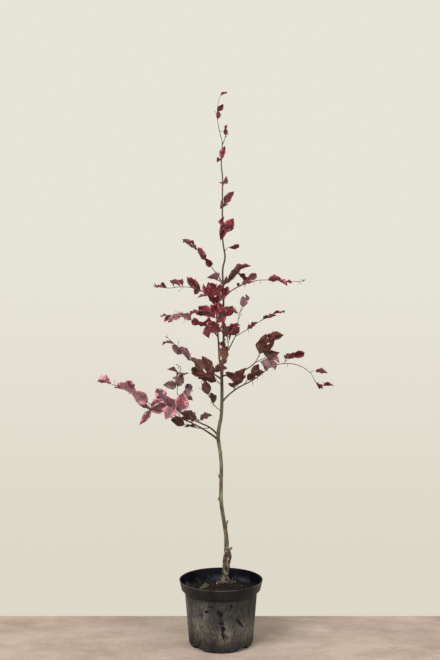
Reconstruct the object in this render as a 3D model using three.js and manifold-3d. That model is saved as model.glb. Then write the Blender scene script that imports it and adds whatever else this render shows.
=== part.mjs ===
// A young European beech with purple, rose-edged leaves, grown in a black nursery pot.
// Millimetres, Z up. The pot stands on Z = 0, its axis is the Z axis, and -Y is the front of the plant.

import * as THREE from 'three';
import { mergeVertices } from 'three/addons/utils/BufferGeometryUtils.js';
import Module from 'manifold-3d';

const wasm = await Module();
wasm.setup();

const GAP = 0.3;

// A ten-litre thin-walled pot: a deep rim band, a chamfered step under it and a body that narrows to
// the foot.
const POT = {
  height: 215, rimRadius: 140, bandFoot: 184, bandFootRadius: 133, stepFoot: 174, bodyRadius: 121.5,
  footRadius: 108, footRounding: 11, cornerSteps: 3, wall: 2.5, segments: 36,
};

// The drain notches scallop the rounded corner of the foot.
const NOTCH = { count: 4, width: 54, height: 14, depth: 32, turn: -1, sides: 12 };

// The compost lies below the rim and rises a little to a flat seat under the trunk.
const COMPOST = {
  edgeHeight: 177, moundRise: 2, moundRadius: 95, seatHeight: 198, seatRadius: 44, clearance: 0.5,
  segments: 24,
};

// The trunk by height, sideways lean, lean away from the viewer, and radius: it weaves a little, swells
// at the old graft and again where the lowest boughs leave it.
const TRUNK_STATIONS = [
  [198.3, 13.5, 0, 11.5], [208, 13.5, 0, 11.3], [221, 13.5, 0, 11], [261, 18, 0, 12],
  [292, 20, 0, 11], [322, 19, 2, 8.2], [365, 16.5, 2, 7], [413, 9, 0, 6.6],
  [470, 1, 0, 6.4], [531, 0, 2, 6.2], [598, 1, 3, 5.9], [649, -4, 2, 5.8],
  [689, -9.5, 0, 6.4], [723, -7, 0, 6], [757, 0, 2, 5.6], [810, 3, 4, 5.6],
  [864, 3, 4, 5.3], [912, 3, 2, 5], [986, 8, 0, 4.1], [1087, 9, -2, 3.6],
  [1188, 7.5, 0, 3.2], [1256, 5.5, 2, 3.1], [1300, 13.5, 2, 2.8], [1357, 6, 0, 2.6],
  [1475, 4.5, 0, 2.4], [1566, 5, 0, 2.2], [1613, 1, 0, 2], [1687, 5, 0, 1.7],
];
const TRUNK = { sides: 8, stepsPerSpan: 6, ringsPerSpan: 2 };

// Five root ridges spread the foot of the trunk over the compost.
const FLARE = { spread: 8, height: 9, ridges: 5, ridgeDepth: 0.6, turn: 20 };

// Each bough leaves its carrier at a height on the trunk, or at a share of another bough's length. It
// heads off by its azimuth (0 right, 90 away, 270 towards the viewer) and climbs by the angles in rise,
// which are spread evenly over its length.
const BOUGHS = [
  {
    name: 'low_left_bough', on: 'trunk', height: 684, azimuth: 203, length: 250,
    rise: [38, 25, 19], radius: [3.2, 1.6],
  },
  {
    name: 'low_left_back_bough', on: 'trunk', height: 698, azimuth: 148, length: 127,
    rise: [46, 16, 19], radius: [3, 2],
  },
  {
    name: 'low_left_upright', on: 'low_left_back_bough', share: 1, azimuth: 128, length: 113,
    rise: [46, 48], radius: [1.8, 1.3],
  },
  {
    name: 'mid_left_bough', on: 'trunk', height: 887, azimuth: 160, length: 99,
    rise: [32, 28], radius: [2.6, 1.7],
  },
  {
    name: 'left_stem', on: 'trunk', height: 908, azimuth: 192, length: 214,
    rise: [76, 88, 84, 91], radius: [3.6, 2.4],
  },
  {
    name: 'crimson_bough', on: 'left_stem', share: 1, azimuth: 205, length: 123,
    rise: [69, 41, 5], radius: [2.1, 1.3],
  },
  {
    name: 'left_stem_side_bough', on: 'left_stem', share: 0.58, azimuth: 150, length: 102,
    rise: [44, 16], radius: [2, 1.4],
  },
  {
    name: 'upper_left_bough', on: 'trunk', height: 1207, azimuth: 140, length: 61,
    rise: [60, 43], radius: [1.9, 1.5],
  },
  {
    name: 'upper_right_bough', on: 'trunk', height: 1160, azimuth: 335, length: 138,
    rise: [48, 21, 11], radius: [2.1, 1.3],
  },
  {
    name: 'right_fork_bough', on: 'trunk', height: 958, azimuth: 45, length: 105,
    rise: [45, 58], radius: [2.4, 1.6],
  },
  {
    name: 'mid_right_bough', on: 'trunk', height: 898, azimuth: 320, length: 151,
    rise: [11, 13, 39], radius: [2.6, 1.7],
  },
  {
    name: 'low_right_bough', on: 'trunk', height: 810, azimuth: 14, length: 199,
    rise: [50, 23, 43], radius: [2.8, 1.6],
  },
  {
    name: 'low_right_outer_bough', on: 'low_right_bough', share: 1, azimuth: 348, length: 162,
    rise: [29, -5, -47], radius: [1.5, 1],
  },
];
const BOUGH_SIDES = 6;

// Each spray is one stem with its leaves. Blades give the first and the last leaf's length, and every
// leaf grows from a seed of its own.
const SPRAYS = [
  {
    name: 'far_left_spray', on: 'low_left_bough', share: 1, azimuth: 185, length: 189,
    rise: [42, 25, 24], blades: [75, 50], tint: 'rose', seeds: [1074, 575, 2035, 1002, 192, 616],
  },
  {
    name: 'hanging_left_spray', on: 'low_left_bough', share: 0.93, azimuth: 202, length: 80,
    rise: [4, 31], blades: [60, 24], tint: 'rose', seeds: [611, 973, 1356],
  },
  {
    name: 'rose_spray', on: 'low_left_bough', share: 0.62, azimuth: 215, length: 94,
    rise: [56, 28], blades: [72, 54], tint: 'rose', seeds: [43, 2153, 1917, 1576, 175, 621],
  },
  {
    name: 'upright_left_spray', on: 'low_left_upright', share: 1, azimuth: 130, length: 95,
    rise: [91, 114], blades: [68, 39], tint: 'mauve', seeds: [2138, 740, 455, 922, 2478, 339, 500],
  },
  {
    name: 'mauve_spray', on: 'low_left_upright', share: 0.7, azimuth: 62, length: 90,
    rise: [26, 12], blades: [46, 36], tint: 'mauve', seeds: [841, 1221, 642, 1010, 951],
  },
  {
    name: 'low_left_under_spray', on: 'low_left_back_bough', share: 0.32, azimuth: 195, length: 113,
    rise: [-9, 14, 32], blades: [55, 52], tint: 'dark', seeds: [1584, 732, 1317],
  },
  {
    name: 'inner_left_spray', on: 'low_left_back_bough', share: 0.69, azimuth: 268, length: 90,
    rise: [22, 4], blades: [58, 52], tint: 'dark', seeds: [474, 261, 1045, 1039],
  },
  {
    name: 'left_twig_spray', on: 'trunk', height: 780, azimuth: 215, length: 116,
    rise: [24, 61, 42], blades: [50, 52], tint: 'dark', seeds: [428, 175, 872],
  },
  {
    name: 'mid_left_spray', on: 'mid_left_bough', share: 1, azimuth: 172, length: 139,
    rise: [25, 49, 38], blades: [54, 34], tint: 'mauve', seeds: [75, 2027, 2355, 1759, 2101, 1348, 497],
  },
  {
    name: 'big_left_spray', on: 'trunk', height: 864, azimuth: 247, length: 150,
    rise: [30, 6], blades: [72, 66], tint: 'dark', seeds: [404, 287, 157, 1229, 582],
  },
  {
    name: 'crossing_spray', on: 'mid_left_bough', share: 0.34, azimuth: 281, length: 62,
    rise: [35, 5], blades: [44, 44], tint: 'dark', seeds: [1112, 86, 1209],
  },
  {
    name: 'crimson_tip_spray', on: 'crimson_bough', share: 1, azimuth: 182, length: 121,
    rise: [10, -10, 24], blades: [39, 30], tint: 'crimson', seeds: [1210, 144, 741, 672, 334, 497],
  },
  {
    name: 'crimson_side_spray', on: 'crimson_bough', share: 0.62, azimuth: 150, length: 52,
    rise: [24, 41], blades: [62, 52], tint: 'crimson', seeds: [204, 1035, 674, 323],
  },
  {
    name: 'crimson_spray', on: 'left_stem', share: 0.97, azimuth: 262, length: 140,
    rise: [42, 8], blades: [58, 54], tint: 'crimson', seeds: [59, 443, 157, 712, 1238, 179, 549],
  },
  {
    name: 'left_red_spray', on: 'left_stem', share: 0.86, azimuth: 205, length: 57,
    rise: [41, 11], blades: [57, 50], tint: 'crimson', seeds: [1941, 1851, 1174, 976, 548],
  },
  {
    name: 'left_tip_spray', on: 'left_stem_side_bough', share: 1, azimuth: 176, length: 122,
    rise: [24, 13, -11], blades: [43, 26], tint: 'rose', seeds: [319, 1488, 245, 1349, 284, 449, 497],
  },
  {
    name: 'left_under_spray', on: 'left_stem_side_bough', share: 0.39, azimuth: 258, length: 110,
    rise: [20, 0], blades: [46, 52], tint: 'crimson', seeds: [66, 361, 384, 804, 1585, 512],
  },
  {
    name: 'upper_left_spray', on: 'upper_left_bough', share: 1, azimuth: 155, length: 155,
    rise: [48, 51, 22], blades: [44, 34], tint: 'crimson', seeds: [517, 701, 919, 989, 690, 557, 993],
  },
  {
    name: 'upper_left_leaf_spray', on: 'trunk', height: 1204, azimuth: 232, length: 30,
    rise: [40, 30], blades: [68, 68], tint: 'mauve', seeds: [1961],
  },
  {
    name: 'right_crown_spray', on: 'trunk', height: 1196, azimuth: 68, length: 118,
    rise: [44, 14], blades: [75, 66], tint: 'dark', seeds: [1455, 11, 1839, 1159],
  },
  {
    name: 'leader_low_spray', on: 'trunk', height: 1317, azimuth: 300, length: 24,
    rise: [40, 20], blades: [50, 50], tint: 'crimson', seeds: [1024],
  },
  {
    name: 'leader_mid_spray', on: 'trunk', height: 1363, azimuth: 280, length: 60,
    rise: [40, 12], blades: [62, 55], tint: 'crimson', seeds: [1069, 851, 1636],
  },
  {
    name: 'leader_high_spray', on: 'trunk', height: 1464, azimuth: 70, length: 28,
    rise: [45, 35], blades: [55, 48], tint: 'crimson', seeds: [714, 1582],
  },
  {
    name: 'leader_upper_spray', on: 'trunk', height: 1537, azimuth: 300, length: 18,
    rise: [45, 35], blades: [57, 57], tint: 'crimson', seeds: [2010],
  },
  {
    name: 'leader_top_spray', on: 'trunk', height: 1617, azimuth: 262, length: 20,
    rise: [45, 25], blades: [46, 40], tint: 'crimson', seeds: [642, 736],
  },
  {
    name: 'leader_twig_spray', on: 'trunk', height: 1677, azimuth: 40, length: 53,
    rise: [60, 80], blades: [30, 26], tint: 'crimson', seeds: [1766, 552],
  },
  {
    name: 'leader_tip_spray', on: 'trunk', height: 1687, azimuth: 170, length: 159,
    rise: [72, 83, 111], blades: [27, 34], tint: 'crimson', seeds: [1024, 1027, 2193, 288],
  },
  {
    name: 'upper_right_tip_spray', on: 'upper_right_bough', share: 1, azimuth: 352, length: 153,
    rise: [5, -7, 3], blades: [46, 16], tint: 'crimson', seeds: [1798, 1204, 1856, 2126, 803],
  },
  {
    name: 'upper_right_spray', on: 'upper_right_bough', share: 0.45, azimuth: 20, length: 30,
    rise: [34, 41], blades: [26, 48], tint: 'crimson', seeds: [101, 605, 484],
  },
  {
    name: 'front_crimson_spray', on: 'trunk', height: 1150, azimuth: 272, length: 70,
    rise: [30, 5], blades: [44, 44], tint: 'crimson', seeds: [555, 1266, 1291],
  },
  {
    name: 'right_red_spray', on: 'trunk', height: 1080, azimuth: 278, length: 140,
    rise: [30, 2], blades: [50, 46], tint: 'crimson', seeds: [1069, 475, 965, 485, 948, 1072],
  },
  {
    name: 'right_deep_spray', on: 'right_fork_bough', share: 0.37, azimuth: 92, length: 140,
    rise: [42, 14], blades: [56, 52], tint: 'crimson', seeds: [1508, 1012, 117, 216, 29, 122],
  },
  {
    name: 'right_upright_spray', on: 'right_fork_bough', share: 0.96, azimuth: 60, length: 143,
    rise: [75, 67, 20], blades: [34, 48], tint: 'mauve', seeds: [326, 2277, 2335],
  },
  {
    name: 'right_arch_spray', on: 'right_fork_bough', share: 0.9, azimuth: 15, length: 183,
    rise: [27, 34, 15], blades: [40, 38], tint: 'crimson', seeds: [674, 1142, 2083, 948, 2310, 334],
  },
  {
    name: 'withered_spray', on: 'trunk', height: 1001, azimuth: 285, length: 34,
    rise: [10, -25], blades: [66, 57], tint: 'bronze', seeds: [1205, 1693],
  },
  {
    name: 'dark_right_spray', on: 'mid_right_bough', share: 1, azimuth: 340, length: 90,
    rise: [58, 64, 37], blades: [71, 75], tint: 'dark', seeds: [701, 1502, 1450, 2298, 563],
  },
  {
    name: 'mid_right_spray', on: 'mid_right_bough', share: 0.97, azimuth: 25, length: 48,
    rise: [35, 5], blades: [52, 46], tint: 'mauve', seeds: [895, 851, 236, 864],
  },
  {
    name: 'right_inner_spray', on: 'low_right_bough', share: 0.28, azimuth: 280, length: 90,
    rise: [28, 8], blades: [52, 62], tint: 'dark', seeds: [303, 1055, 599, 732],
  },
  {
    name: 'low_right_spray', on: 'low_right_bough', share: 0.48, azimuth: 345, length: 44,
    rise: [51, 46], blades: [44, 46], tint: 'dark', seeds: [833, 1186, 39],
  },
  {
    name: 'low_right_outer_spray', on: 'low_right_outer_bough', share: 0.37, azimuth: 350, length: 20,
    rise: [72, 79], blades: [42, 54], tint: 'crimson', seeds: [430, 1221, 1174],
  },
  {
    name: 'low_right_bend_spray', on: 'low_right_outer_bough', share: 0.95, azimuth: 8, length: 16,
    rise: [25, 11], blades: [44, 44], tint: 'crimson', seeds: [160],
  },
  {
    name: 'low_right_tip_spray', on: 'low_right_outer_bough', share: 1, azimuth: 8, length: 71,
    rise: [-64, -58, 39], blades: [44, 34], tint: 'crimson', seeds: [333, 1144, 785, 991],
  },
];

// Every course is worked out in this many steps. The limbs then take only as many rings as they need.
const COURSE_STEPS = 24;
const RING_SPACING = 46;

const STEM = {
  sides: 4, foot: 1.3, footShare: 0.9, tip: 0.7, bare: 0.1, sunk: 0.9, spurRadius: 0.8, spurMost: 36,
  spurCut: 22, smoothing: 0.08,
};
const LEAF = {
  swing: 15, swingMore: 55, nod: 60, roll: 85, least: 0.85, more: 0.3, narrow: 0.5, broader: 0.16,
  fold: 10, foldMore: 50, droop: 5, droopMore: 55, stalk: 0.1, stalkRadius: 0.7, fullness: 0.85,
  thickShare: 0.011, stations: [0, 0.1, 0.32, 0.58, 0.82, 1],
};
const CLEAR = { limb: 1.2, leaf: 2.5, dotSpacing: 4, shares: [0.2, 0.4, 0.6, 0.8, 1], sides: [-1, 0, 1] };

const LOOKS = {
  pot: { color: 0x2e2c2f, roughness: 0.5 },
  compost: { color: 0x3b2f27, roughness: 0.95 },
  bark: { color: 0x6a6b56, roughness: 0.8 },
  rose: { color: 0xa8626e, roughness: 0.55 },
  mauve: { color: 0x6e5358, roughness: 0.55 },
  crimson: { color: 0x86384a, roughness: 0.55 },
  dark: { color: 0x57362f, roughness: 0.5 },
  bronze: { color: 0x9c7367, roughness: 0.65 },
};

const UP = new THREE.Vector3(0, 0, 1);
const FRONT = new THREE.Vector3(0, -1, 0);

// A stem whose heading climbs by more than this takes the front as its upper side.
const STEEP = 0.95;
const radians = THREE.MathUtils.degToRad;

// A multiplicative generator of numbers between 0 and 1: the same seed always gives the same leaf.
function drawsFrom(seed) {
  let state = (seed * 7919) % 2147483647;
  const draw = () => {
    state = (state * 16807) % 2147483647;
    return state / 2147483647;
  };
  for (let skipped = 0; skipped < 3; skipped += 1) draw();
  return draw;
}

function shareOf(values, share) {
  const place = share * (values.length - 1);
  const before = Math.min(values.length - 2, Math.floor(place));
  return values[before] + (values[before + 1] - values[before]) * (place - before);
}

// A line of points with the distance along it to each of them.
function lineOf(points) {
  const along = [0];
  for (let i = 1; i < points.length; i += 1) along.push(along[i - 1] + points[i].distanceTo(points[i - 1]));
  return { points, along, length: along[along.length - 1] };
}

function pointAlong(line, distance) {
  let span = 0;
  while (span < line.points.length - 2 && line.along[span + 1] < distance) span += 1;
  const [start, end] = [line.points[span], line.points[span + 1]];
  const part = (distance - line.along[span]) / (line.along[span + 1] - line.along[span]);
  return { point: start.clone().lerp(end, part), heading: end.clone().sub(start).normalize() };
}

function pointAtHeight(line, height) {
  const span = line.points.findIndex((point, i) => i > 0 && point.z >= height) - 1;
  const [start, end] = [line.points[span], line.points[span + 1]];
  return start.clone().lerp(end, (height - start.z) / (end.z - start.z));
}

// The course of a bough or stem: equal steps that head off by its azimuth and climb by its rise.
function courseOf(row, carrier) {
  const start = row.height ? pointAtHeight(carrier.line, row.height)
    : pointAlong(carrier.line, row.share * carrier.line.length).point;
  const points = [start];
  const step = row.length / COURSE_STEPS;
  for (let i = 0; i < COURSE_STEPS; i += 1) {
    const climb = radians(shareOf(row.rise, (i + 0.5) / COURSE_STEPS));
    const heading = new THREE.Vector3(
      Math.cos(climb) * Math.cos(radians(row.azimuth)),
      Math.cos(climb) * Math.sin(radians(row.azimuth)),
      Math.sin(climb),
    );
    points.push(points[i].clone().addScaledVector(heading, step));
  }
  return lineOf(points);
}

function solidOf(geometry) {
  const bare = geometry.index ? geometry.clone() : geometry;
  bare.deleteAttribute('normal');
  bare.deleteAttribute('uv');
  const closed = mergeVertices(bare, 1e-4);
  return new wasm.Manifold(new wasm.Mesh({
    numProp: 3,
    vertProperties: Float32Array.from(closed.getAttribute('position').array),
    triVerts: Uint32Array.from(closed.getIndex().array),
  }));
}

function geometryOf(solid) {
  const mesh = solid.getMesh();
  const geometry = new THREE.BufferGeometry();
  geometry.setAttribute('position', new THREE.BufferAttribute(mesh.vertProperties, 3));
  geometry.setIndex(new THREE.BufferAttribute(mesh.triVerts, 1));
  geometry.computeVertexNormals();
  return geometry;
}

// The largest body of a cut solid, without the scraps that a cut can leave.
function largestOf(solid) {
  return solid.decompose().sort((a, b) => b.volume() - a.volume())[0];
}

// A closed tube about a line. Each ring is a cylinder's ring carried to its place and turned square to
// the line, and radiusAt gives its radius by share of the length and by angle.
function tubeAbout(line, radiusAt, sides, rings, overrun = 0) {
  const tube = new THREE.CylinderGeometry(1, 1, 1, sides, rings);
  const position = tube.getAttribute('position');
  const vertex = new THREE.Vector3();
  const placed = [];
  for (let ring = 0; ring <= rings; ring += 1) {
    const { point, heading } = pointAlong(line, (ring / rings) * line.length);
    if (ring === 0) point.addScaledVector(heading, -overrun);
    if (ring === rings) point.addScaledVector(heading, overrun);
    const turn = new THREE.Quaternion().setFromUnitVectors(UP, heading);
    placed.push({ point, turn });
  }
  for (let i = 0; i < position.count; i += 1) {
    vertex.fromBufferAttribute(position, i);
    const ring = Math.round((vertex.y + 0.5) * rings);
    const across = Math.hypot(vertex.x, vertex.z);
    const angle = Math.atan2(vertex.x, vertex.z);
    const radius = across < 0.5 ? 0 : radiusAt(ring / rings, angle);
    vertex.set(radius * Math.sin(angle), -radius * Math.cos(angle), 0);
    vertex.applyQuaternion(placed[ring].turn).add(placed[ring].point);
    position.setXYZ(i, vertex.x, vertex.y, vertex.z);
  }
  return solidOf(tube);
}

// Half of a leaf's breadth at a share of its length, for a blade as broad as it is long: nothing along
// the stalk, then an oval with its widest place below the middle and a drawn-out tip.
function halfBreadth(share) {
  if (share <= LEAF.stalk) return 0;
  return 0.5 * Math.sin(Math.PI * ((share - LEAF.stalk) / (1 - LEAF.stalk)) ** LEAF.fullness);
}

// A point of a leaf: share runs from the foot of the stalk to the tip, side from -1 to 1 across the
// blade, and depth from -1 to 1 through it. The midrib droops in an arc and the halves fold up from it.
function leafPoint(leaf, share, side, depth) {
  const bend = radians(leaf.droop) * share;
  const forward = leaf.length * share * Math.sin(bend) / bend || 0;
  const fall = leaf.length * share * (1 - Math.cos(bend)) / bend || 0;
  const half = Math.max(LEAF.stalkRadius, leaf.length * leaf.breadth * halfBreadth(share));
  const face = leaf.normal.clone().multiplyScalar(Math.cos(bend));
  face.addScaledVector(leaf.along, Math.sin(bend));
  const thick = Math.max(LEAF.stalkRadius, leaf.length * LEAF.thickShare);
  return leaf.root.clone()
    .addScaledVector(leaf.along, forward)
    .addScaledVector(leaf.normal, -fall)
    .addScaledVector(leaf.across, half * side * Math.cos(radians(leaf.fold)))
    .addScaledVector(face, half * Math.abs(side) * Math.sin(radians(leaf.fold)) + depth * thick);
}

// One leaf of a spray, grown from its own seed: its place on the stem, the swing to one side, a short
// spur in some, then how it nods, rolls, folds and droops.
function growLeaf(spray, stem, index) {
  const draw = drawsFrom(spray.seeds[index]);
  const count = spray.seeds.length;
  const share = index === count - 1 ? 1 : STEM.bare + (1 - STEM.bare) * (index + draw()) / count;
  const { point: foot, heading } = pointAlong(stem, share * stem.length);
  const rough = Math.abs(heading.z) > STEEP ? FRONT : UP;
  const up = rough.clone().addScaledVector(heading, -rough.dot(heading)).normalize();
  const hand = draw() < 0.5 ? -1 : 1;
  const along = heading.clone().applyAxisAngle(up, radians(hand * (LEAF.swing + LEAF.swingMore * draw())));
  const root = foot.clone().addScaledVector(along, Math.max(0, STEM.spurMost * draw() - STEM.spurCut));
  const across = along.clone().cross(up).normalize();
  along.applyAxisAngle(across, radians(LEAF.nod * (2 * draw() - 1)));
  across.applyAxisAngle(along, radians(LEAF.roll * (2 * draw() - 1)));
  const normal = across.clone().cross(along);
  const [first, last] = spray.blades;
  const blade = first + (last - first) * index / Math.max(1, count - 1);
  const length = blade * (LEAF.least + LEAF.more * draw());
  const breadth = LEAF.narrow + LEAF.broader * draw();
  const fold = LEAF.fold + LEAF.foldMore * draw();
  const droop = LEAF.droop + LEAF.droopMore * draw();
  return { foot, root, along, across, normal, length, breadth, fold, droop };
}

// A leaf keeps its space when it stays clear of every limb and of the leaves of the other sprays.
function keepsClear(leaf, limbs, taken) {
  for (const share of CLEAR.shares) {
    for (const side of CLEAR.sides) {
      const point = leafPoint(leaf, share, side, 0);
      if (limbs.some((dot) => dot.point.distanceTo(point) < dot.radius + CLEAR.limb)) return false;
      if (taken.some((other) => other.distanceTo(point) < CLEAR.leaf)) return false;
    }
  }
  return true;
}

// A leaf's solid is a sphere with four sides, drawn out along the leaf: each of its rings becomes the
// two edges and the two faces of the blade. The foot of the stalk is sunk through the stem.
function leafSolid(leaf) {
  const rows = LEAF.stations.length - 1;
  const blade = new THREE.SphereGeometry(1, 4, rows);
  const position = blade.getAttribute('position');
  for (let i = 0; i < position.count; i += 1) {
    const row = Math.round(Math.acos(THREE.MathUtils.clamp(position.getY(i), -1, 1)) / Math.PI * rows);
    const ring = Math.max(0.1, Math.sin(Math.PI * row / rows));
    const side = Math.round(-position.getX(i) / ring);
    const depth = Math.round(position.getZ(i) / ring);
    const point = leafPoint(leaf, LEAF.stations[row], side, depth);
    if (row === 0) point.addScaledVector(leaf.along, -STEM.sunk);
    position.setXYZ(i, point.x, point.y, point.z);
  }
  return solidOf(blade);
}

// The short spur that carries a leaf which doesn't sit on the stem itself.
function spurSolid(leaf) {
  const reach = leaf.root.clone().sub(leaf.foot);
  const heading = reach.clone().normalize();
  const line = lineOf([leaf.foot.clone().addScaledVector(heading, -STEM.spurRadius), leaf.root.clone()]);
  return tubeAbout(line, () => STEM.spurRadius, STEM.sides, 1);
}

// The limbs that carry others, by name, with the solid that is cut from whatever they carry.
const carriers = new Map();

// Points along every limb and stem, for keeping the leaves clear of them.
const limbDots = [];

function recordDots(name, line, radiusAt) {
  for (let distance = 0; distance < line.length; distance += CLEAR.dotSpacing) {
    const { point } = pointAlong(line, distance);
    limbDots.push({ name, point, radius: radiusAt(distance / line.length) });
  }
}

// The trunk's rings lie level, so its foot is cut flat and sits on the compost.
function trunkLimb() {
  const stations = TRUNK_STATIONS.map(([height, lean, depth]) => new THREE.Vector3(lean, depth, height));
  const spans = stations.length - 1;
  const curve = new THREE.CatmullRomCurve3(stations, false, 'catmullrom', 0.5);
  const line = lineOf(curve.getPoints(spans * TRUNK.stepsPerSpan));
  const radii = TRUNK_STATIONS.map((station) => station[3]);
  const rings = spans * TRUNK.ringsPerSpan;
  const solidWith = (extra) => {
    const tube = new THREE.CylinderGeometry(1, 1, 1, TRUNK.sides, rings);
    const position = tube.getAttribute('position');
    for (let i = 0; i < position.count; i += 1) {
      const [x, y, z] = [position.getX(i), position.getY(i), position.getZ(i)];
      const ring = Math.round((y + 0.5) * rings);
      const centre = curve.getPoint(ring / rings);
      const angle = Math.atan2(-z, x);
      const climb = centre.z - stations[0].z;
      if (ring === rings) centre.z += extra;
      const ridge = 1 + FLARE.ridgeDepth * Math.cos(FLARE.ridges * angle - radians(FLARE.turn));
      const flare = FLARE.spread * ridge * Math.exp(-climb / FLARE.height);
      const across = Math.hypot(x, z) < 0.5 ? 0 : shareOf(radii, ring / rings) + flare + extra;
      centre.add(new THREE.Vector3(across * Math.cos(angle), across * Math.sin(angle), 0));
      position.setXYZ(i, centre.x, centre.y, centre.z);
    }
    return solidOf(tube);
  };
  const radiusAt = (share) => shareOf(radii, share);
  carriers.set('trunk', { line, radiusAt, cutter: solidWith(GAP) });
  recordDots('trunk', line, radiusAt);
  return solidWith(0);
}

function boughLimb(row) {
  const carrier = carriers.get(row.on);
  const line = courseOf(row, carrier);
  const rings = Math.max(3, Math.round(line.length / RING_SPACING));
  const radiusAt = (share) => shareOf(row.radius, share);
  const cutter = tubeAbout(line, (share) => radiusAt(share) + GAP, BOUGH_SIDES, rings, GAP);
  carriers.set(row.name, { line, radiusAt, cutter });
  recordDots(row.name, line, radiusAt);
  return largestOf(tubeAbout(line, radiusAt, BOUGH_SIDES, rings).subtract(carrier.cutter));
}

// The stems are laid out before any leaf grows, because the leaves keep clear of all of them.
function stemOf(row) {
  const carrier = carriers.get(row.on);
  const line = courseOf(row, carrier);
  const foot = Math.min(STEM.foot, STEM.footShare * carrier.radiusAt(row.share ?? 0));
  const radiusAt = (share) => foot + (STEM.tip - foot) * share;
  recordDots(row.name, line, radiusAt);
  const rings = Math.max(2, Math.round(line.length / RING_SPACING));
  const solid = largestOf(tubeAbout(line, radiusAt, STEM.sides, rings).subtract(carrier.cutter));
  return { row, line, solid };
}

// A spray is its stem with the spurs and leaves fused on. A leaf without room is skipped.
function spraySolid({ row, line, solid }, taken) {
  const limbs = limbDots.filter((dot) => dot.name !== row.name);
  const leaves = row.seeds.map((seed, index) => growLeaf(row, line, index));
  const kept = leaves.filter((leaf) => keepsClear(leaf, limbs, taken));
  let spray = solid;
  for (const leaf of kept) {
    if (leaf.root.distanceTo(leaf.foot) > STEM.spurRadius) spray = spray.add(spurSolid(leaf));
    spray = spray.add(leafSolid(leaf));
    for (const share of CLEAR.shares) {
      for (const side of CLEAR.sides) taken.push(leafPoint(leaf, share, side, 0));
    }
  }
  return largestOf(spray).simplify(STEM.smoothing);
}

// A profile of radius and height turned about the pot's axis. It starts and ends on the axis.
function turned(profile, segments) {
  const corners = profile.map(([radius, height]) => new THREE.Vector2(radius, height));
  return solidOf(new THREE.LatheGeometry(corners, segments).rotateX(Math.PI / 2));
}

// The pot's wall from the flat foot round the corner and up to a height, drawn in by an inset.
function wallProfile(inset, top) {
  const corner = [];
  for (let step = 0; step <= POT.cornerSteps; step += 1) {
    const angle = step / POT.cornerSteps * Math.PI / 2;
    const middle = POT.footRadius - POT.footRounding;
    const round = POT.footRounding - inset;
    corner.push([middle + round * Math.sin(angle), POT.footRounding - round * Math.cos(angle)]);
  }
  return [
    [0, inset],
    ...corner,
    [POT.bodyRadius - inset, POT.stepFoot],
    [POT.bandFootRadius - inset, POT.bandFoot],
    [POT.rimRadius - inset, top],
  ];
}

// The scallops in the foot's corner, as one solid, grown by an amount on every side.
function notches(grow) {
  let all;
  for (let i = 0; i < NOTCH.count; i += 1) {
    const length = 2 * (NOTCH.depth + grow);
    const arch = new THREE.CylinderGeometry(1, 1, length, NOTCH.sides);
    arch.scale(NOTCH.width / 2 + grow, 1, NOTCH.height + grow);
    arch.translate(0, -POT.footRadius, 0);
    arch.rotateZ(radians(NOTCH.turn + (i + 0.5) * 360 / NOTCH.count));
    const solid = solidOf(arch);
    all = all ? all.add(solid) : solid;
  }
  return all;
}

function potSolid() {
  const outside = turned([...wallProfile(0, POT.height), [0, POT.height]], POT.segments);
  const inside = turned([...wallProfile(POT.wall, POT.height + 1), [0, POT.height + 1]], POT.segments);
  const cavity = inside.subtract(notches(POT.wall));
  return outside.subtract(notches(0)).subtract(cavity);
}

function compostSolid() {
  const inset = POT.wall + COMPOST.clearance;
  const climb = (COMPOST.edgeHeight - POT.stepFoot) / (POT.bandFoot - POT.stepFoot);
  const edgeRadius = POT.bodyRadius + (POT.bandFootRadius - POT.bodyRadius) * climb - inset;
  const wall = wallProfile(inset, POT.height).slice(0, -2);
  const filling = turned([
    ...wall,
    [edgeRadius, COMPOST.edgeHeight],
    [COMPOST.moundRadius, COMPOST.edgeHeight + COMPOST.moundRise],
    [COMPOST.seatRadius, COMPOST.seatHeight],
    [0, COMPOST.seatHeight],
  ], COMPOST.segments);
  return filling.subtract(notches(inset));
}

const plant = new THREE.Group();

function addPiece(name, solid, look) {
  const mesh = new THREE.Mesh(geometryOf(solid), new THREE.MeshStandardMaterial(LOOKS[look]));
  mesh.name = name;
  plant.add(mesh);
}

addPiece('pot', potSolid(), 'pot');
addPiece('compost', compostSolid(), 'compost');
addPiece('trunk', trunkLimb(), 'bark');
for (const row of BOUGHS) addPiece(row.name, boughLimb(row), 'bark');

const stems = SPRAYS.map(stemOf);
const taken = [];
for (const stem of stems) addPiece(stem.row.name, spraySolid(stem, taken), stem.row.tint);

export default plant;
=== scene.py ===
import random
from collections import namedtuple
from math import acos, atan2, cos, degrees, exp, hypot, pi, radians, sin, sqrt, tau

import bmesh
import bpy
from mathutils import Matrix, Vector, noise


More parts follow.
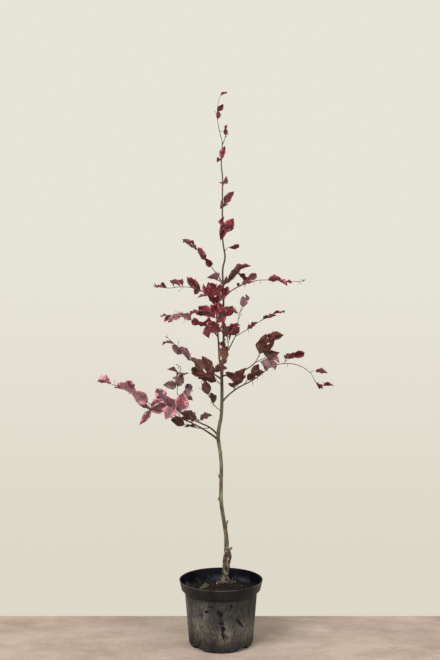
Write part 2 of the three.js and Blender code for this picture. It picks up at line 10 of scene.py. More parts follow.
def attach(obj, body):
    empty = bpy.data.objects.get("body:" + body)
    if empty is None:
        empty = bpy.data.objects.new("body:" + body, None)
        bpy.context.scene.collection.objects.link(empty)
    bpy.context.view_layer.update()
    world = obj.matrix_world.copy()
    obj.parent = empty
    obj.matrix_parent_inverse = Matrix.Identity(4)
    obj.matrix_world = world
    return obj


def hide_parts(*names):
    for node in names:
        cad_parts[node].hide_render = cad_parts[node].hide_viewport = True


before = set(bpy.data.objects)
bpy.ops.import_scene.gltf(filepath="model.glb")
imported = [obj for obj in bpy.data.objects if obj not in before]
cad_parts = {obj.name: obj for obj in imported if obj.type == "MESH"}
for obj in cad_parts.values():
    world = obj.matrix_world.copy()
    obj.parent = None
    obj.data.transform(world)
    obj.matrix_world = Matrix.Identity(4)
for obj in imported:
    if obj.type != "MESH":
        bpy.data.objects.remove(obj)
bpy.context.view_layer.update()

# The viewpoint. A level camera at waist height looks straight at the plant from about three metres,
# and its focal length is known in the pixels of a frame that is 660 of them high.
FRAME_HEIGHT_PX = 660
FOCAL_LENGTH_PX = 872
SENSOR_SIDE = 36.0
CAMERA_PLACE = (-0.0034, -2.94, 1.0535)


def loose_object(name, data):
    """An object of its own with some data. A bmesh is made a mesh for it, and used up."""
    if isinstance(data, bmesh.types.BMesh):
        shape, data = data, bpy.data.meshes.new(name)
        shape.to_mesh(data)
        shape.free()
    made = bpy.data.objects.new(name, data)
    bpy.context.scene.collection.objects.link(made)
    return made


camera_data = bpy.data.cameras.new("camera")
camera_data.sensor_width = SENSOR_SIDE
camera_data.lens = FOCAL_LENGTH_PX / FRAME_HEIGHT_PX * SENSOR_SIDE
camera = loose_object("camera", camera_data)
camera.location = CAMERA_PLACE
camera.rotation_euler = (radians(90), 0, 0)
bpy.context.scene.camera = camera
bpy.context.scene.view_settings.view_transform = "Standard"


# The floor and the air round the plant. The floor is plain and pale and ends a short way behind the pot,
# and the air beyond it is an even cream, seen at full strength and weaker as a light.
FLOOR_BACK = 0.272
FLOOR_FRONT = -9.0
FLOOR_HALF = 9.0
AIR_LOW = (221, 216, 201)
AIR_HIGH = (231, 228, 216)
AIR_LIGHT = 0.55


def srgb(red, green, blue):
    """A colour as it is read off a screen, in the linear values that a shader takes."""
    def linear(part):
        part /= 255
        return part / 12.92 if part <= 0.04045 else ((part + 0.055) / 1.055) ** 2.4

    return (linear(red), linear(green), linear(blue), 1.0)


class Socket:
    """A value or colour inside a finish. Arithmetic on it adds Math nodes."""

    def __init__(self, finish, output):
        self.finish = finish
        self.output = output

    def math(self, operation, *values):
        return self.finish.node("ShaderNodeMath", {"operation": operation}, dict(enumerate(values)))

    def __add__(self, other):
        return self.math("ADD", self, other)

    def __radd__(self, other):
        return self.math("ADD", other, self)

    def __sub__(self, other):
        return self.math("SUBTRACT", self, other)

    def __rsub__(self, other):
        return self.math("SUBTRACT", other, self)

    def __mul__(self, other):
        return self.math("MULTIPLY", self, other)

    def __rmul__(self, other):
        return self.math("MULTIPLY", other, self)

    def __abs__(self):
        return self.math("ABSOLUTE", self)

    def between(self, low, high):
        """From 0 where the value is low to 1 where it is high, in a soft step."""
        sockets = {"Value": self, "From Min": low, "From Max": high}
        return self.finish.node("ShaderNodeMapRange", {"interpolation_type": "SMOOTHSTEP"}, sockets)


class Finish:
    """The node tree of one material, or of the air. Its patterns are laid out in Object coordinates."""

    def __init__(self, owner):
        """Starts an empty tree: the air's, or a new material's by its name."""
        self.owner = bpy.data.materials.new(owner) if isinstance(owner, str) else owner
        self.owner.use_nodes = True
        self.tree = self.owner.node_tree
        self.tree.nodes.clear()

    def node(self, kind, settings, sockets, output=0):
        """Adds a node: its settings first, then its sockets, each a value or another node's output."""
        made = self.tree.nodes.new(kind)
        for name, value in settings.items():
            setattr(made, name, value)
        for name, value in sockets.items():
            if isinstance(value, Socket):
                self.tree.links.new(value.output, made.inputs[name])
            else:
                made.inputs[name].default_value = value
        return Socket(self, made.outputs[output]) if made.outputs else None

    def place(self, *stretch):
        """Object coordinates, multiplied along each axis."""
        at = self.node("ShaderNodeTexCoord", {}, {}, "Object")
        return self.node("ShaderNodeMapping", {}, {"Vector": at, "Scale": stretch or (1, 1, 1)})

    def cloud(self, scale, detail=4, upright=1, roughness=0.55, right=1, back=1):
        """Noise. Where a number for a direction is low, its patches are long in that direction."""
        at = self.place(right, back, upright)
        sockets = {"Vector": at, "Scale": scale, "Detail": detail, "Roughness": roughness}
        return self.node("ShaderNodeTexNoise", {}, sockets)

    def part(self, axis, vector=None):
        """One part of a vector, or else of the place: X to the right, Y away from the viewer, Z up."""
        return self.node("ShaderNodeSeparateXYZ", {}, {"Vector": vector or self.place()}, axis)

    def mix(self, mask, low, high):
        """One colour where the mask is 0 and the other where it is 1. A tuple is a colour off a screen."""
        low, high = [srgb(*colour) if isinstance(colour, tuple) else colour for colour in (low, high)]
        return self.node("ShaderNodeMix", {"data_type": "RGBA"}, {0: mask, 6: low, 7: high}, 2)

    def layered(self, colour, *layers):
        """A colour with others laid over it in turn, each by its mask."""
        for mask, paint in layers:
            colour = self.mix(mask, colour, paint)
        return colour

    def surface(self, colour, roughness, relief, depth, shine=0.5):
        """Ends the tree in a Principled surface, with the relief as bump that is depth metres high."""
        bump = self.node("ShaderNodeBump", {}, {"Height": relief, "Distance": depth})
        sockets = {"Base Color": colour, "Roughness": roughness, "Specular IOR Level": shine, "Normal": bump}
        shader = self.node("ShaderNodeBsdfPrincipled", {}, sockets)
        self.node("ShaderNodeOutputMaterial", {}, {"Surface": shader})
        return self.owner


def floor_finish():
    finish = Finish("plain_pale_floor")
    patches = finish.cloud(4.2, 9, 1, 0.74, 0.8, 1.4).between(0.34, 0.66)
    bands = finish.cloud(13, 7, 1, 0.75, 0.4).between(0.5, 0.68)
    colour = finish.mix(patches, (174, 156, 142), (202, 185, 171))
    colour = finish.layered(colour, (bands * 0.4, (216, 201, 188)))
    return finish.surface(colour, 0.85, finish.cloud(60, 5), 0.0015)


floor_shape = bmesh.new()
bmesh.ops.create_grid(floor_shape, x_segments=1, y_segments=1, size=1)
middle = (FLOOR_BACK + FLOOR_FRONT) / 2
bmesh.ops.scale(floor_shape, verts=floor_shape.verts, vec=(FLOOR_HALF, FLOOR_BACK - middle, 1))
bmesh.ops.translate(floor_shape, verts=floor_shape.verts, vec=(0, middle, 0))
floor = loose_object("floor", floor_shape)
floor.data.materials.append(floor_finish())

world = bpy.data.worlds.new("backdrop")
bpy.context.scene.world = world
air = Finish(world)
climb = air.part("Z", air.node("ShaderNodeTexCoord", {}, {}, "Generated"))
cream = air.mix(climb.between(-0.3, 0.12), AIR_LOW, AIR_HIGH)
seen = air.node("ShaderNodeLightPath", {}, {}, "Is Camera Ray")
glow = air.node("ShaderNodeBackground", {}, {"Color": cream, "Strength": AIR_LIGHT + (1 - AIR_LIGHT) * seen})
air.node("ShaderNodeOutputWorld", {}, {"Surface": glow})


# The pot. A thin-walled nursery pot, moulded in black plastic: a deep rim band with a rolled lip, a
# chamfered step, a body that narrows to the foot, and four drain scallops in the foot's corner.
POT_HEIGHT = 0.215
RIM_RADIUS = 0.140
BAND_FOOT = 0.184
BAND_FOOT_RADIUS = 0.133
BAND_EDGE = (0.0008, 0.0009)
STEP_FOOT = 0.174
STEP_EDGE = (0.0006, 0.0008)
BODY_RADIUS = 0.1215
FOOT_RADIUS = 0.108
FOOT_ROUNDING = 0.011
CORNER_STEPS = 6
POT_WALL = 0.0025
CAVITY_OVER = 0.001
LIP_ROLL = 0.0013
LIP_DRAWN_IN = 0.6
LIP_ANGLES = range(-60, 211, 45)
POT_STEPS = 160
NOTCH_COUNT = 4
NOTCH_WIDTH = 0.054
NOTCH_HEIGHT = 0.014
NOTCH_DEPTH = 0.032
NOTCH_TURN = -1
NOTCH_SIDES = 48
# The scuffs on the front, where the dust is rubbed off: right, height, half-width, half-height and lean.
SCUFFS = [
    (0.0060, 0.080, 0.0085, 0.036, 0.06), (0.0015, 0.101, 0.012, 0.007, 0.3),
    (0.060, 0.100, 0.0065, 0.022, 0.55), (-0.004, 0.137, 0.011, 0.015, 0.2),
    (-0.046, 0.139, 0.009, 0.006, -0.8), (0.032, 0.158, 0.006, 0.006, 0.1),
    (-0.034, 0.156, 0.010, 0.003, 0.0),
]


def turned(profile, steps):
    """A closed bmesh spun about the pot's axis from radius and height. It starts and ends on the axis."""
    shape = bmesh.new()
    points = [shape.verts.new((radius, 0, height)) for radius, height in profile]
    edges = [shape.edges.new(pair) for pair in zip(points, points[1:])]
    axis = {"cent": (0, 0, 0), "axis": (0, 0, 1), "angle": tau}
    bmesh.ops.spin(shape, geom=points + edges, steps=steps, use_merge=True, **axis)
    bmesh.ops.remove_doubles(shape, verts=shape.verts, dist=1e-6)
    bmesh.ops.recalc_face_normals(shape, faces=shape.faces)
    return shape


def wall_profile(inset):
    """The pot's outside from the middle of its foot to the top of its step, drawn in by an inset."""
    middle = FOOT_RADIUS - FOOT_ROUNDING
    rounding = FOOT_ROUNDING - inset
    corner = []
    for step in range(CORNER_STEPS + 1):
        angle = step / CORNER_STEPS * pi / 2
        corner.append((middle + rounding * sin(angle), FOOT_ROUNDING - rounding * cos(angle)))
    return [
        (0, inset), *corner,
        (BODY_RADIUS - inset, STEP_FOOT - STEP_EDGE[1]), (BODY_RADIUS - inset + STEP_EDGE[0], STEP_FOOT),
        (BAND_FOOT_RADIUS - inset - BAND_EDGE[0], BAND_FOOT - BAND_EDGE[1]),
        (BAND_FOOT_RADIUS - inset, BAND_FOOT),
    ]


def lip_profile():
    """The rolled lip on top of the rim band, from its outer foot over to its inner one."""
    middle = RIM_RADIUS - LIP_ROLL * LIP_DRAWN_IN
    roll = []
    for angle in map(radians, LIP_ANGLES):
        roll.append((middle + LIP_ROLL * cos(angle), POT_HEIGHT - LIP_ROLL + LIP_ROLL * sin(angle)))
    return roll


def carved(block, cutters):
    """The block's bmesh with the cutters taken out of it. The block and the cutters are used up."""
    for cutter in cutters:
        cut = block.modifiers.new("cut", "BOOLEAN")
        cut.operation = "DIFFERENCE"
        cut.solver = "EXACT"
        cut.object = cutter
    shape = bmesh.new()
    shape.from_object(block, bpy.context.evaluated_depsgraph_get())
    for used in (block, *cutters):
        bpy.data.objects.remove(used)
    return shape


def notch_cutters(grow):
    """The four scallops as lying elliptical rollers, grown by an amount on every side."""
    shape = bmesh.new()
    size = {"radius1": 1, "radius2": 1, "depth": 2 * (NOTCH_DEPTH + grow)}
    for index in range(NOTCH_COUNT):
        roller = bmesh.ops.create_cone(shape, cap_ends=True, segments=NOTCH_SIDES, **size)["verts"]
        turn = radians(NOTCH_TURN + (index + 0.5) * 360 / NOTCH_COUNT)
        place = (
            Matrix.Rotation(turn, 4, "Z")
            @ Matrix.Translation((0, -FOOT_RADIUS, 0))
            @ Matrix.Diagonal((NOTCH_WIDTH / 2 + grow, 1, NOTCH_HEIGHT + grow, 1))
            @ Matrix.Rotation(radians(90), 4, "X")
        )
        bmesh.ops.transform(shape, matrix=place, verts=roller)
    return loose_object("notches", shape)


def finished(name, shape, materials, sharp=40):
    """The piece's object: it rides on the plant's one body and takes the materials given for it."""
    made = loose_object(name, shape)
    for material in materials:
        made.data.materials.append(material)
    made.data.shade_smooth()
    made.data.set_sharp_from_angle(angle=radians(sharp))
    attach(made, "root")
    return made


def dusty_plastic():
    """The outside: satin black under dried mud that ran down the body and caught below the band, with painted
    light on it: a lighter left side, painted shade under the band and high on the right, and a painted
    highlight along the lip.
    """
    finish = Finish("dusty_black_plastic")
    right = finish.part("X")
    height = finish.part("Z")
    # Painted shadow under the band: the dust fades out over the top of the body and the step, which leaves
    # them dark.
    body_under_painted_band_shadow = 1 - height.between(0.166, 0.180)
    low = 1 - height.between(0.075, 0.12)
    rightward = right.between(0.0, 0.05)
    front = 1 - finish.part("Y").between(-0.07, -0.05)
    streaks = finish.cloud(210, 5, 0.3, 0.75).between(0.38, 0.6)
    runs = finish.cloud(90, 3, 0.08, 0.6).between(0.4, 0.6)
    patches = finish.cloud(14, 5, 0.5, 0.6).between(0.32, 0.68)
    mottle = finish.cloud(120, 6, 0.7, 0.75).between(0.36, 0.64)
    fine = finish.cloud(300, 4, 0.16, 0.65)
    worn = finish.cloud(100, 4, 0.5, 0.65)
    clean = finish.cloud(34, 4, 0.5, 0.6).between(0.6, 0.7) * 0.8
    for x, z, half_width, half_height, lean in SCUFFS:
        across = (right - x + lean * (height - z)) * (1 / half_width)
        upright = (height - z) * (1 / half_height)
        spot = 1 - (across * across + upright * upright + 3 * (worn - 0.5)).between(0.4, 1.0)
        clean = clean.math("MAXIMUM", clean, spot * front)
    brown = (0.4 + 0.6 * finish.cloud(9, 3, 0.4, 0.5).between(0.42, 0.62)) * low
    green = finish.cloud(11, 3, 0.3, 0.5).between(0.52, 0.66)
    mud = finish.mix(brown * (0.85 - 0.5 * rightward), (118, 115, 110), (136, 122, 104))
    mud = finish.mix(green * 0.55, mud, (106, 107, 92))
    # Painted light and shade: the dust, and so the body, is lighter towards the left and more so at the far
    # left edge, and darker high on the body from about its middle rightwards. Lower down, more mud lies
    # towards the left.
    dust_and_painted_light_by_side = 1.05 - 0.25 * right.between(-0.06, 0.1) + 0.3 * (1 - right.between(-0.118, -0.09))
    dust_and_painted_light_by_side = dust_and_painted_light_by_side * (1 + (0.5 - 0.4 * rightward) * low)
    dust_and_painted_light_by_side = dust_and_painted_light_by_side * (1 - 0.4 * height.between(0.085, 0.12) * right.between(-0.045, -0.01))
    # Less dust towards the top of the body and towards the foot.
    dust_by_height = (1 - 0.3 * height.between(0.12, 0.17)) * (0.28 + 0.72 * height.between(0.018, 0.06))
    caked = (0.16 + 0.8 * patches) * (0.2 + 0.3 * streaks + 0.14 * runs + 0.52 * mottle)
    dust = body_under_painted_band_shadow * caked * (1 - clean) * dust_and_painted_light_by_side * dust_by_height
    band_dust = (1 - body_under_painted_band_shadow) * (0.01 + 0.07 * patches + 0.34 * abs(right).between(0.095, 0.14))
    # A painted highlight: a pale line along the top of the lip.
    lip_painted_highlight = height.between(0.2128, 0.2140) * (0.06 + 0.3 * patches)
    colour = finish.layered((20, 21, 27), (dust + band_dust, mud), (lip_painted_highlight, (138, 130, 122)))
    return finish.surface(colour, 0.5 + 0.35 * dust, fine * 0.6 + streaks * 0.4, 0.0005, 0.15)


def wet_plastic():
    """The inside of the rim: clean, glossy and nearly black, with a dull tide mark over the compost,
    lightened into a painted blue-grey reflection.
    """
    finish = Finish("glossy_black_plastic")
    smears = finish.cloud(24, 5, 0.4, 0.6)
    # A painted reflection: a pale blue-grey band low on the inside wall, laid over the tide mark just above
    # the compost.
    tide_and_painted_reflection = 1 - finish.part("Z").between(0.179, 0.197)
    mask = smears.between(0.45, 0.75) * 0.08 + tide_and_painted_reflection * smears.between(0.44, 0.6) * 0.6
    colour = finish.mix(mask, (5, 6, 11), (78, 78, 94))
    return finish.surface(colour, 0.3 + 0.3 * smears, smears, 0.0003, 0.1)


outside = turned([*wall_profile(0), *lip_profile(), (0, POT_HEIGHT - LIP_ROLL)], POT_STEPS)
cavity_top = POT_HEIGHT + CAVITY_OVER
inside = turned([*wall_profile(POT_WALL), (RIM_RADIUS - POT_WALL, cavity_top), (0, cavity_top)], POT_STEPS)
cavity = loose_object("cavity", carved(loose_object("inside", inside), [notch_cutters(POT_WALL)]))
pot_shape = carved(loose_object("outside", outside), [notch_cutters(0), cavity])
# A face that looks to the axis takes the clean inside finish.
for face in pot_shape.faces:
    middle = face.calc_center_median()
    outward = Vector((middle.x, middle.y, 0))
    face.material_index = int(outward.length > 0 and face.normal.dot(outward.normalized()) < -0.3)
pot = finished("nursery_pot", pot_shape, [dusty_plastic(), wet_plastic()], sharp=28)
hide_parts("pot")


# The compost. Dark bark and peat fills the pot to a few fingers below the rim and rises to the foot of
# the trunk. Its top is lumpy, with loose bark chips, tufts of moss and a few pale grains.
COMPOST_EDGE = 0.177
MOUND_RADIUS = 0.095
MOUND_EDGE = 0.179
SEAT_HEIGHT = 0.198
SEAT_RADIUS = 0.044
COMPOST_CLEAR = 0.0005
COMPOST_STEPS = 132
TOP_SPACING = 0.0025
CLOD_HEIGHT = 0.0045
CLODS_PER_METRE = 70
TRUNK_FOOT = (0.0135, 0.0)
TRUNK_CLEAR = (0.018, 0.036)
HEAP_PLACE = (0.0135, -0.023)
HEAP_HALF = (0.026, 0.010)
HEAP_HEIGHT = 0.0085
LITTER_RADIUS = 0.118
CHIP_COUNT = 420
CHIP_SIZES = [(0.0035, 0.011), (0.002, 0.0055), (0.0008, 0.002)]
CHIP_CORNERS = (0.7, 1.1)
CHIP_TONES = (0, 0, 0, 0, 0, 1, 1, 1, 1, 2)
# The moss by place, spread and share of pale shoots.
MOSS_PATCHES = [
    (-0.082, 0.008, 0.022, 0.0), (-0.056, -0.018, 0.011, 0.45), (-0.062, 0.004, 0.022, 0.0),
    (0.038, 0.022, 0.010, 0.4), (0.034, -0.016, 0.013, 0.0), (0.072, -0.036, 0.012, 0.0),
    (0.010, 0.070, 0.016, 0.1),
]
SHOOT_COUNT = 700
SHOOT_HEIGHT = (0.003, 0.0075)
SHOOT_RADIUS = (0.0008, 0.0014)
SHOOT_TIP = 0.0001
GRAIN_PLACES = [(-0.0065, 0.012), (-0.0135, 0.000), (-0.045, 0.062), (0.070, 0.020), (0.020, -0.070)]
GRAIN_RADIUS = (0.0013, 0.0024)
GRAIN_LIFT = 0.0018


def smooth_step(low, high, value):
    share = min(1, max(0, (value - low) / (high - low)))
    return share * share * (3 - 2 * share)


def top_height(radius):
    """The height of the compost's smooth top at a distance from the axis."""
    if radius < MOUND_RADIUS:
        return SEAT_HEIGHT + (MOUND_EDGE - SEAT_HEIGHT) * smooth_step(SEAT_RADIUS, MOUND_RADIUS, radius)
    edge = BODY_RADIUS - POT_WALL
    return MOUND_EDGE + (COMPOST_EDGE - MOUND_EDGE) * smooth_step(MOUND_RADIUS, edge, radius)


def compost_top(x, y):
    """The height of the top with its clods, flat under the trunk, and the heap in front of the trunk."""
    lift = noise.fractal(Vector((x * CLODS_PER_METRE, y * CLODS_PER_METRE, 0)), 0.7, 2.1, 4)
    away = hypot(x - TRUNK_FOOT[0], y - TRUNK_FOOT[1])
    right = (x - HEAP_PLACE[0]) / HEAP_HALF[0]
    back = (y - HEAP_PLACE[1]) / HEAP_HALF[1]
    heap = HEAP_HEIGHT * exp(-right ** 2 - back ** 2) * (1 + 0.5 * lift)
    return top_height(hypot(x, y)) + (CLOD_HEIGHT * lift * smooth_step(*TRUNK_CLEAR, away) + heap)


def compost_finish():
    finish = Finish("bark_compost")
    crumbs = finish.cloud(260, 6, 1, 0.65)
    damp = finish.cloud(32, 4)
    colour = finish.mix(crumbs.between(0.44, 0.7), (5, 4, 4), (56, 33, 28))
    colour = finish.layered(colour, (damp.between(0.5, 0.72) * 0.4, (22, 23, 12)))
    return finish.surface(colour, 0.75 + 0.2 * damp, crumbs, 0.002, 0.3)


def litter_finish(name, dark, light):
    finish = Finish(name)
    grain = finish.cloud(420, 5, 1, 0.6, 1, 0.35)
    colour = finish.mix(grain.between(0.3, 0.7), dark, light)
    return finish.surface(colour, 0.8 + 0.15 * grain, grain, 0.0008, 0.3)


def faces_of(vertices):
    return {face for vertex in vertices for face in vertex.link_faces}


def tumbled(draw, least, most):
    """A turn to any side after a tilt between two angles."""
    turn = Matrix.Rotation(draw.uniform(0, tau), 4, "Z")
    return turn @ Matrix.Rotation(draw.uniform(least, most), 4, "X")


def strew(shape, piece, x, y, lift, turn, tone):
    """Lays a small piece on the top of the compost, turned, lifted and in one of its materials."""
    place = Matrix.Translation((x, y, compost_top(x, y) + lift)) @ turn
    bmesh.ops.transform(shape, matrix=place, verts=piece)
    for face in faces_of(piece):
        face.material_index = tone


compost_wall = wall_profile(POT_WALL + COMPOST_CLEAR)
climb_share = (COMPOST_EDGE - STEP_FOOT) / (BAND_FOOT - STEP_FOOT)
edge_radius = BODY_RADIUS + (BAND_FOOT_RADIUS - BODY_RADIUS) * climb_share - POT_WALL - COMPOST_CLEAR
top_points = int(edge_radius / TOP_SPACING)
top_profile = [(edge_radius * (1 - i / top_points), COMPOST_EDGE) for i in range(top_points + 1)]
filling = turned([*compost_wall[:-3], *top_profile], COMPOST_STEPS)
for vertex in filling.verts:
    if vertex.co.z > COMPOST_EDGE - 1e-6:
        vertex.co.z = compost_top(vertex.co.x, vertex.co.y)
compost_shape = carved(loose_object("filling", filling), [notch_cutters(POT_WALL + COMPOST_CLEAR)])
compost = finished("compost_filling", compost_shape, [compost_finish()], sharp=60)
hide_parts("compost")

draw = random.Random(11)
chips = bmesh.new()
for index in range(CHIP_COUNT):
    reach = LITTER_RADIUS * sqrt(draw.uniform(0.03, 1))
    angle = draw.uniform(0, tau)
    x, y = reach * cos(angle), reach * sin(angle)
    size = Vector([draw.uniform(*sizes) for sizes in CHIP_SIZES])
    chip = bmesh.ops.create_cube(chips, size=1)["verts"]
    for vertex in chip:
        vertex.co = Vector([part * draw.uniform(*CHIP_CORNERS) for part in vertex.co])
    lay = tumbled(draw, -0.5, 0.5) @ Matrix.Diagonal((*size, 1))
    strew(chips, chip, x, y, size.z * 0.6, lay, draw.choice(CHIP_TONES))
chip_looks = [
    litter_finish("dark_chip", (12, 8, 8), (36, 21, 20)),
    litter_finish("brown_chip", (36, 20, 18), (68, 40, 35)),
    litter_finish("pale_chip", (58, 38, 34), (92, 66, 58)),
]
finished("bark_chips", chips, chip_looks, sharp=20)

draw = random.Random(12)
moss = bmesh.new()
for index in range(SHOOT_COUNT):
    x, y, spread, pale = MOSS_PATCHES[index % len(MOSS_PATCHES)]
    x += draw.gauss(0, spread * 0.5)
    y += draw.gauss(0, spread * 0.5)
    if hypot(x, y) > LITTER_RADIUS:
        continue
    tall = draw.uniform(*SHOOT_HEIGHT)
    size = {"radius1": draw.uniform(*SHOOT_RADIUS), "radius2": SHOOT_TIP, "depth": tall}
    shoot = bmesh.ops.create_cone(moss, cap_ends=True, segments=4, **size)["verts"]
    strew(moss, shoot, x, y, tall * 0.3, tumbled(draw, 0, 0.7), int(index % 10 < 10 * pale))
moss_looks = [
    litter_finish("deep_moss", (12, 18, 6), (34, 44, 16)),
    litter_finish("pale_moss", (116, 126, 86), (198, 206, 168)),
]
finished("moss_tufts", moss, moss_looks, sharp=60)

draw = random.Random(13)
grains = bmesh.new()
for x, y in GRAIN_PLACES:
    radius = draw.uniform(*GRAIN_RADIUS)
    grain = bmesh.ops.create_icosphere(grains, subdivisions=2, radius=radius)["verts"]
    for vertex in grain:
        vertex.co *= 1 + 0.25 * noise.noise(vertex.co * 900)
    strew(grains, grain, x, y, GRAIN_LIFT, Matrix.Identity(4), 0)
finished("pale_grains", grains, [litter_finish("pale_grain", (206, 202, 190), (236, 233, 224))])


# The trunk. One weaving stem of smooth grey-green bark from the compost to the foot of the top shoot,
# swollen and rough at the old graft, with knobs where side shoots were pruned, three cut stubs, and thin
# roots that run out over the compost. A station is its height, lean to the right and away, and radius.
TRUNK_STATIONS = [
    (0.1983, 0.0135, 0.0, 0.0115), (0.208, 0.0135, 0.0, 0.0113), (0.221, 0.0135, 0.0, 0.011),
    (0.261, 0.018, 0.0, 0.012), (0.292, 0.02, 0.0, 0.011), (0.322, 0.019, 0.002, 0.0082),
    (0.365, 0.0165, 0.002, 0.007), (0.413, 0.009, 0.0, 0.0066), (0.47, 0.001, 0.0, 0.0064),
    (0.531, 0.0, 0.002, 0.0062), (0.598, 0.001, 0.003, 0.0059), (0.649, -0.004, 0.002, 0.0058),
    (0.689, -0.0095, 0.0, 0.0064), (0.723, -0.007, 0.0, 0.006), (0.757, 0.0, 0.002, 0.0056),
    (0.81, 0.003, 0.004, 0.0056), (0.864, 0.003, 0.004, 0.0053), (0.912, 0.003, 0.002, 0.005),
    (0.986, 0.008, 0.0, 0.0041), (1.087, 0.009, -0.002, 0.0036), (1.188, 0.0075, 0.0, 0.0032),
    (1.256, 0.0055, 0.002, 0.0031), (1.3, 0.0135, 0.002, 0.0028), (1.357, 0.006, 0.0, 0.0026),
    (1.475, 0.0045, 0.0, 0.0024), (1.566, 0.005, 0.0, 0.0022), (1.613, 0.001, 0.0, 0.002),
    (1.687, 0.005, 0.0, 0.0017),
]
STATION_STEPS = 6
TRUNK_SIDES = 28
TRUNK_RING = 0.0026
FLARE_SPREAD = 0.0035
FLARE_HEIGHT = 0.009
FLARE_RIDGES = 5
FLARE_DEPTH = 0.6
FLARE_TURN = 20
GRAFT_TOP = 0.335
GRAFT_FADE = 0.03
RIPPLE_HEIGHT = 0.00022
LUMP_HEIGHT = 0.0013
# Swellings by height, azimuth, half-height and lift: the graft, the knobs and the feet of the stubs.
SWELLINGS = [
    (0.290, 10, 0.012, 0.0050), (0.306, -25, 0.009, 0.0034), (0.268, 60, 0.010, 0.0030),
    (0.262, -70, 0.009, 0.0032), (0.240, 160, 0.010, 0.0022), (0.278, 185, 0.012, 0.0020),
    (0.484, 185, 0.006, 0.0046), (0.561, 190, 0.006, 0.0044), (0.392, 5, 0.007, 0.0026),
    (0.640, 30, 0.005, 0.0020), (0.745, 200, 0.005, 0.0018),
]
SWELLING_HALF_TURN = 0.8
# Cut stubs by height, azimuth, length, climb and radius.
STUBS = [(0.384, 4, 0.027, 84, 0.0032), (0.303, 6, 0.019, 64, 0.0034), (0.296, -60, 0.008, 30, 0.0030)]
STUB_STEPS = 8
# The roots that show: the way each faces, how far it runs out and its radius.
ROOTS = [
    (196, 0.030, 0.0036), (228, 0.024, 0.0032), (316, 0.026, 0.0032), (342, 0.040, 0.0038),
    (8, 0.034, 0.0034), (48, 0.034, 0.0038), (92, 0.034, 0.0034), (138, 0.040, 0.0040),
]
ROOT_STEPS = 12
ROOT_START = 0.003
ROOT_CLIMB = 0.027
ROOT_SUNK = 0.0035


class Line:
    """A run of points with the distance along it to each, which limbs, stems and stalks follow."""

    def __init__(self, points):
        self.points = points
        self.along = [0.0]
        for before, point in zip(points, points[1:]):
            self.along.append(self.along[-1] + (point - before).length)
        self.length = self.along[-1]

    def at(self, distance):
        """The point at a distance, and the heading of the step that it lies on."""
        span = 0
        while span < len(self.points) - 2 and self.along[span + 1] < distance:
            span += 1
        start, end = self.points[span], self.points[span + 1]
        part = (distance - self.along[span]) / (self.along[span + 1] - self.along[span])
        return start.lerp(end, part), (end - start).normalized()

    def heading(self, distance):
        """The heading at a distance, evened out over the neighbouring steps."""
        window = self.length / 40
        return (self.at(distance + window)[0] - self.at(distance - window)[0]).normalized()

    def at_height(self, height):
        span = next(i for i, point in enumerate(self.points) if i > 0 and point.z >= height) - 1
        start, end = self.points[span], self.points[span + 1]
        return start.lerp(end, (height - start.z) / (end.z - start.z))


def curve_through(stations, steps):
    """A smooth line through the stations, in equal parts between each two."""
    guides = [2 * stations[0] - stations[1], *stations, 2 * stations[-1] - stations[-2]]
    points = []
    for i in range(len(stations) - 1):
        a, b, c, d = guides[i:i + 4]
        for step in range(steps):
            t = step / steps
            square = 2 * a - 5 * b + 4 * c - d
            cube = 3 * b - a - 3 * c + d
            points.append(0.5 * (2 * b + (c - a) * t + square * t * t + cube * t ** 3))
    return Line([*points, stations[-1]])


def heading_of(azimuth, climb):
    """The heading towards an azimuth, 0 to the right and 90 away from the viewer, that climbs by an angle."""
    turn, tilt = radians(azimuth), radians(climb)
    return Vector((cos(tilt) * cos(turn), cos(tilt) * sin(turn), sin(tilt)))


def add_limb(shape, line, sides, rings, radius_at, slot=0):
    """Adds a closed tube along a line. radius_at takes the point, the direction outwards and the share."""
    made = bmesh.ops.create_grid(shape, x_segments=rings, y_segments=sides, size=0.5)["verts"]
    hoops = []
    side = line.heading(0).orthogonal()
    for ring in range(rings + 1):
        share = ring / rings
        heading = line.heading(share * line.length)
        side = (side - heading * side.dot(heading)).normalized()
        hoops.append((line.at(share * line.length)[0], side, heading.cross(side), share))
    for vertex in made:
        point, side, other, share = hoops[round((vertex.co.x + 0.5) * rings)]
        angle = (vertex.co.y + 0.5) * tau
        outward = side * cos(angle) + other * sin(angle)
        vertex.co = point + outward * radius_at(point, outward, share)
    bmesh.ops.remove_doubles(shape, verts=made, dist=1e-6)
    kept = [vertex for vertex in made if vertex.is_valid]
    rims = {edge for vertex in kept for edge in vertex.link_edges if edge.is_boundary}
    bmesh.ops.holes_fill(shape, edges=list(rims), sides=sides)
    faces = list(faces_of(kept))
    bmesh.ops.recalc_face_normals(shape, faces=faces)
    for face in faces:
        face.material_index = slot


def trunk_girth(height):
    """The plain radius of the trunk at a height, by its stations."""
    for (low, _, _, thick), (high, _, _, thin) in zip(TRUNK_STATIONS, TRUNK_STATIONS[1:]):
        if height <= high:
            return thick + (thin - thick) * max(0, height - low) / (high - low)
    return TRUNK_STATIONS[-1][3]


def bark_relief(place, rough):
    """The bark's own height: fine upright ripples, and scaly lumps where it is rough."""
    ripple = noise.fractal(Vector((place.x * 420, place.y * 420, place.z * 95)), 0.8, 2.0, 3)
    lumps = noise.fractal(place * 165, 0.6, 2.2, 4)
    return RIPPLE_HEIGHT * ripple + LUMP_HEIGHT * rough * lumps


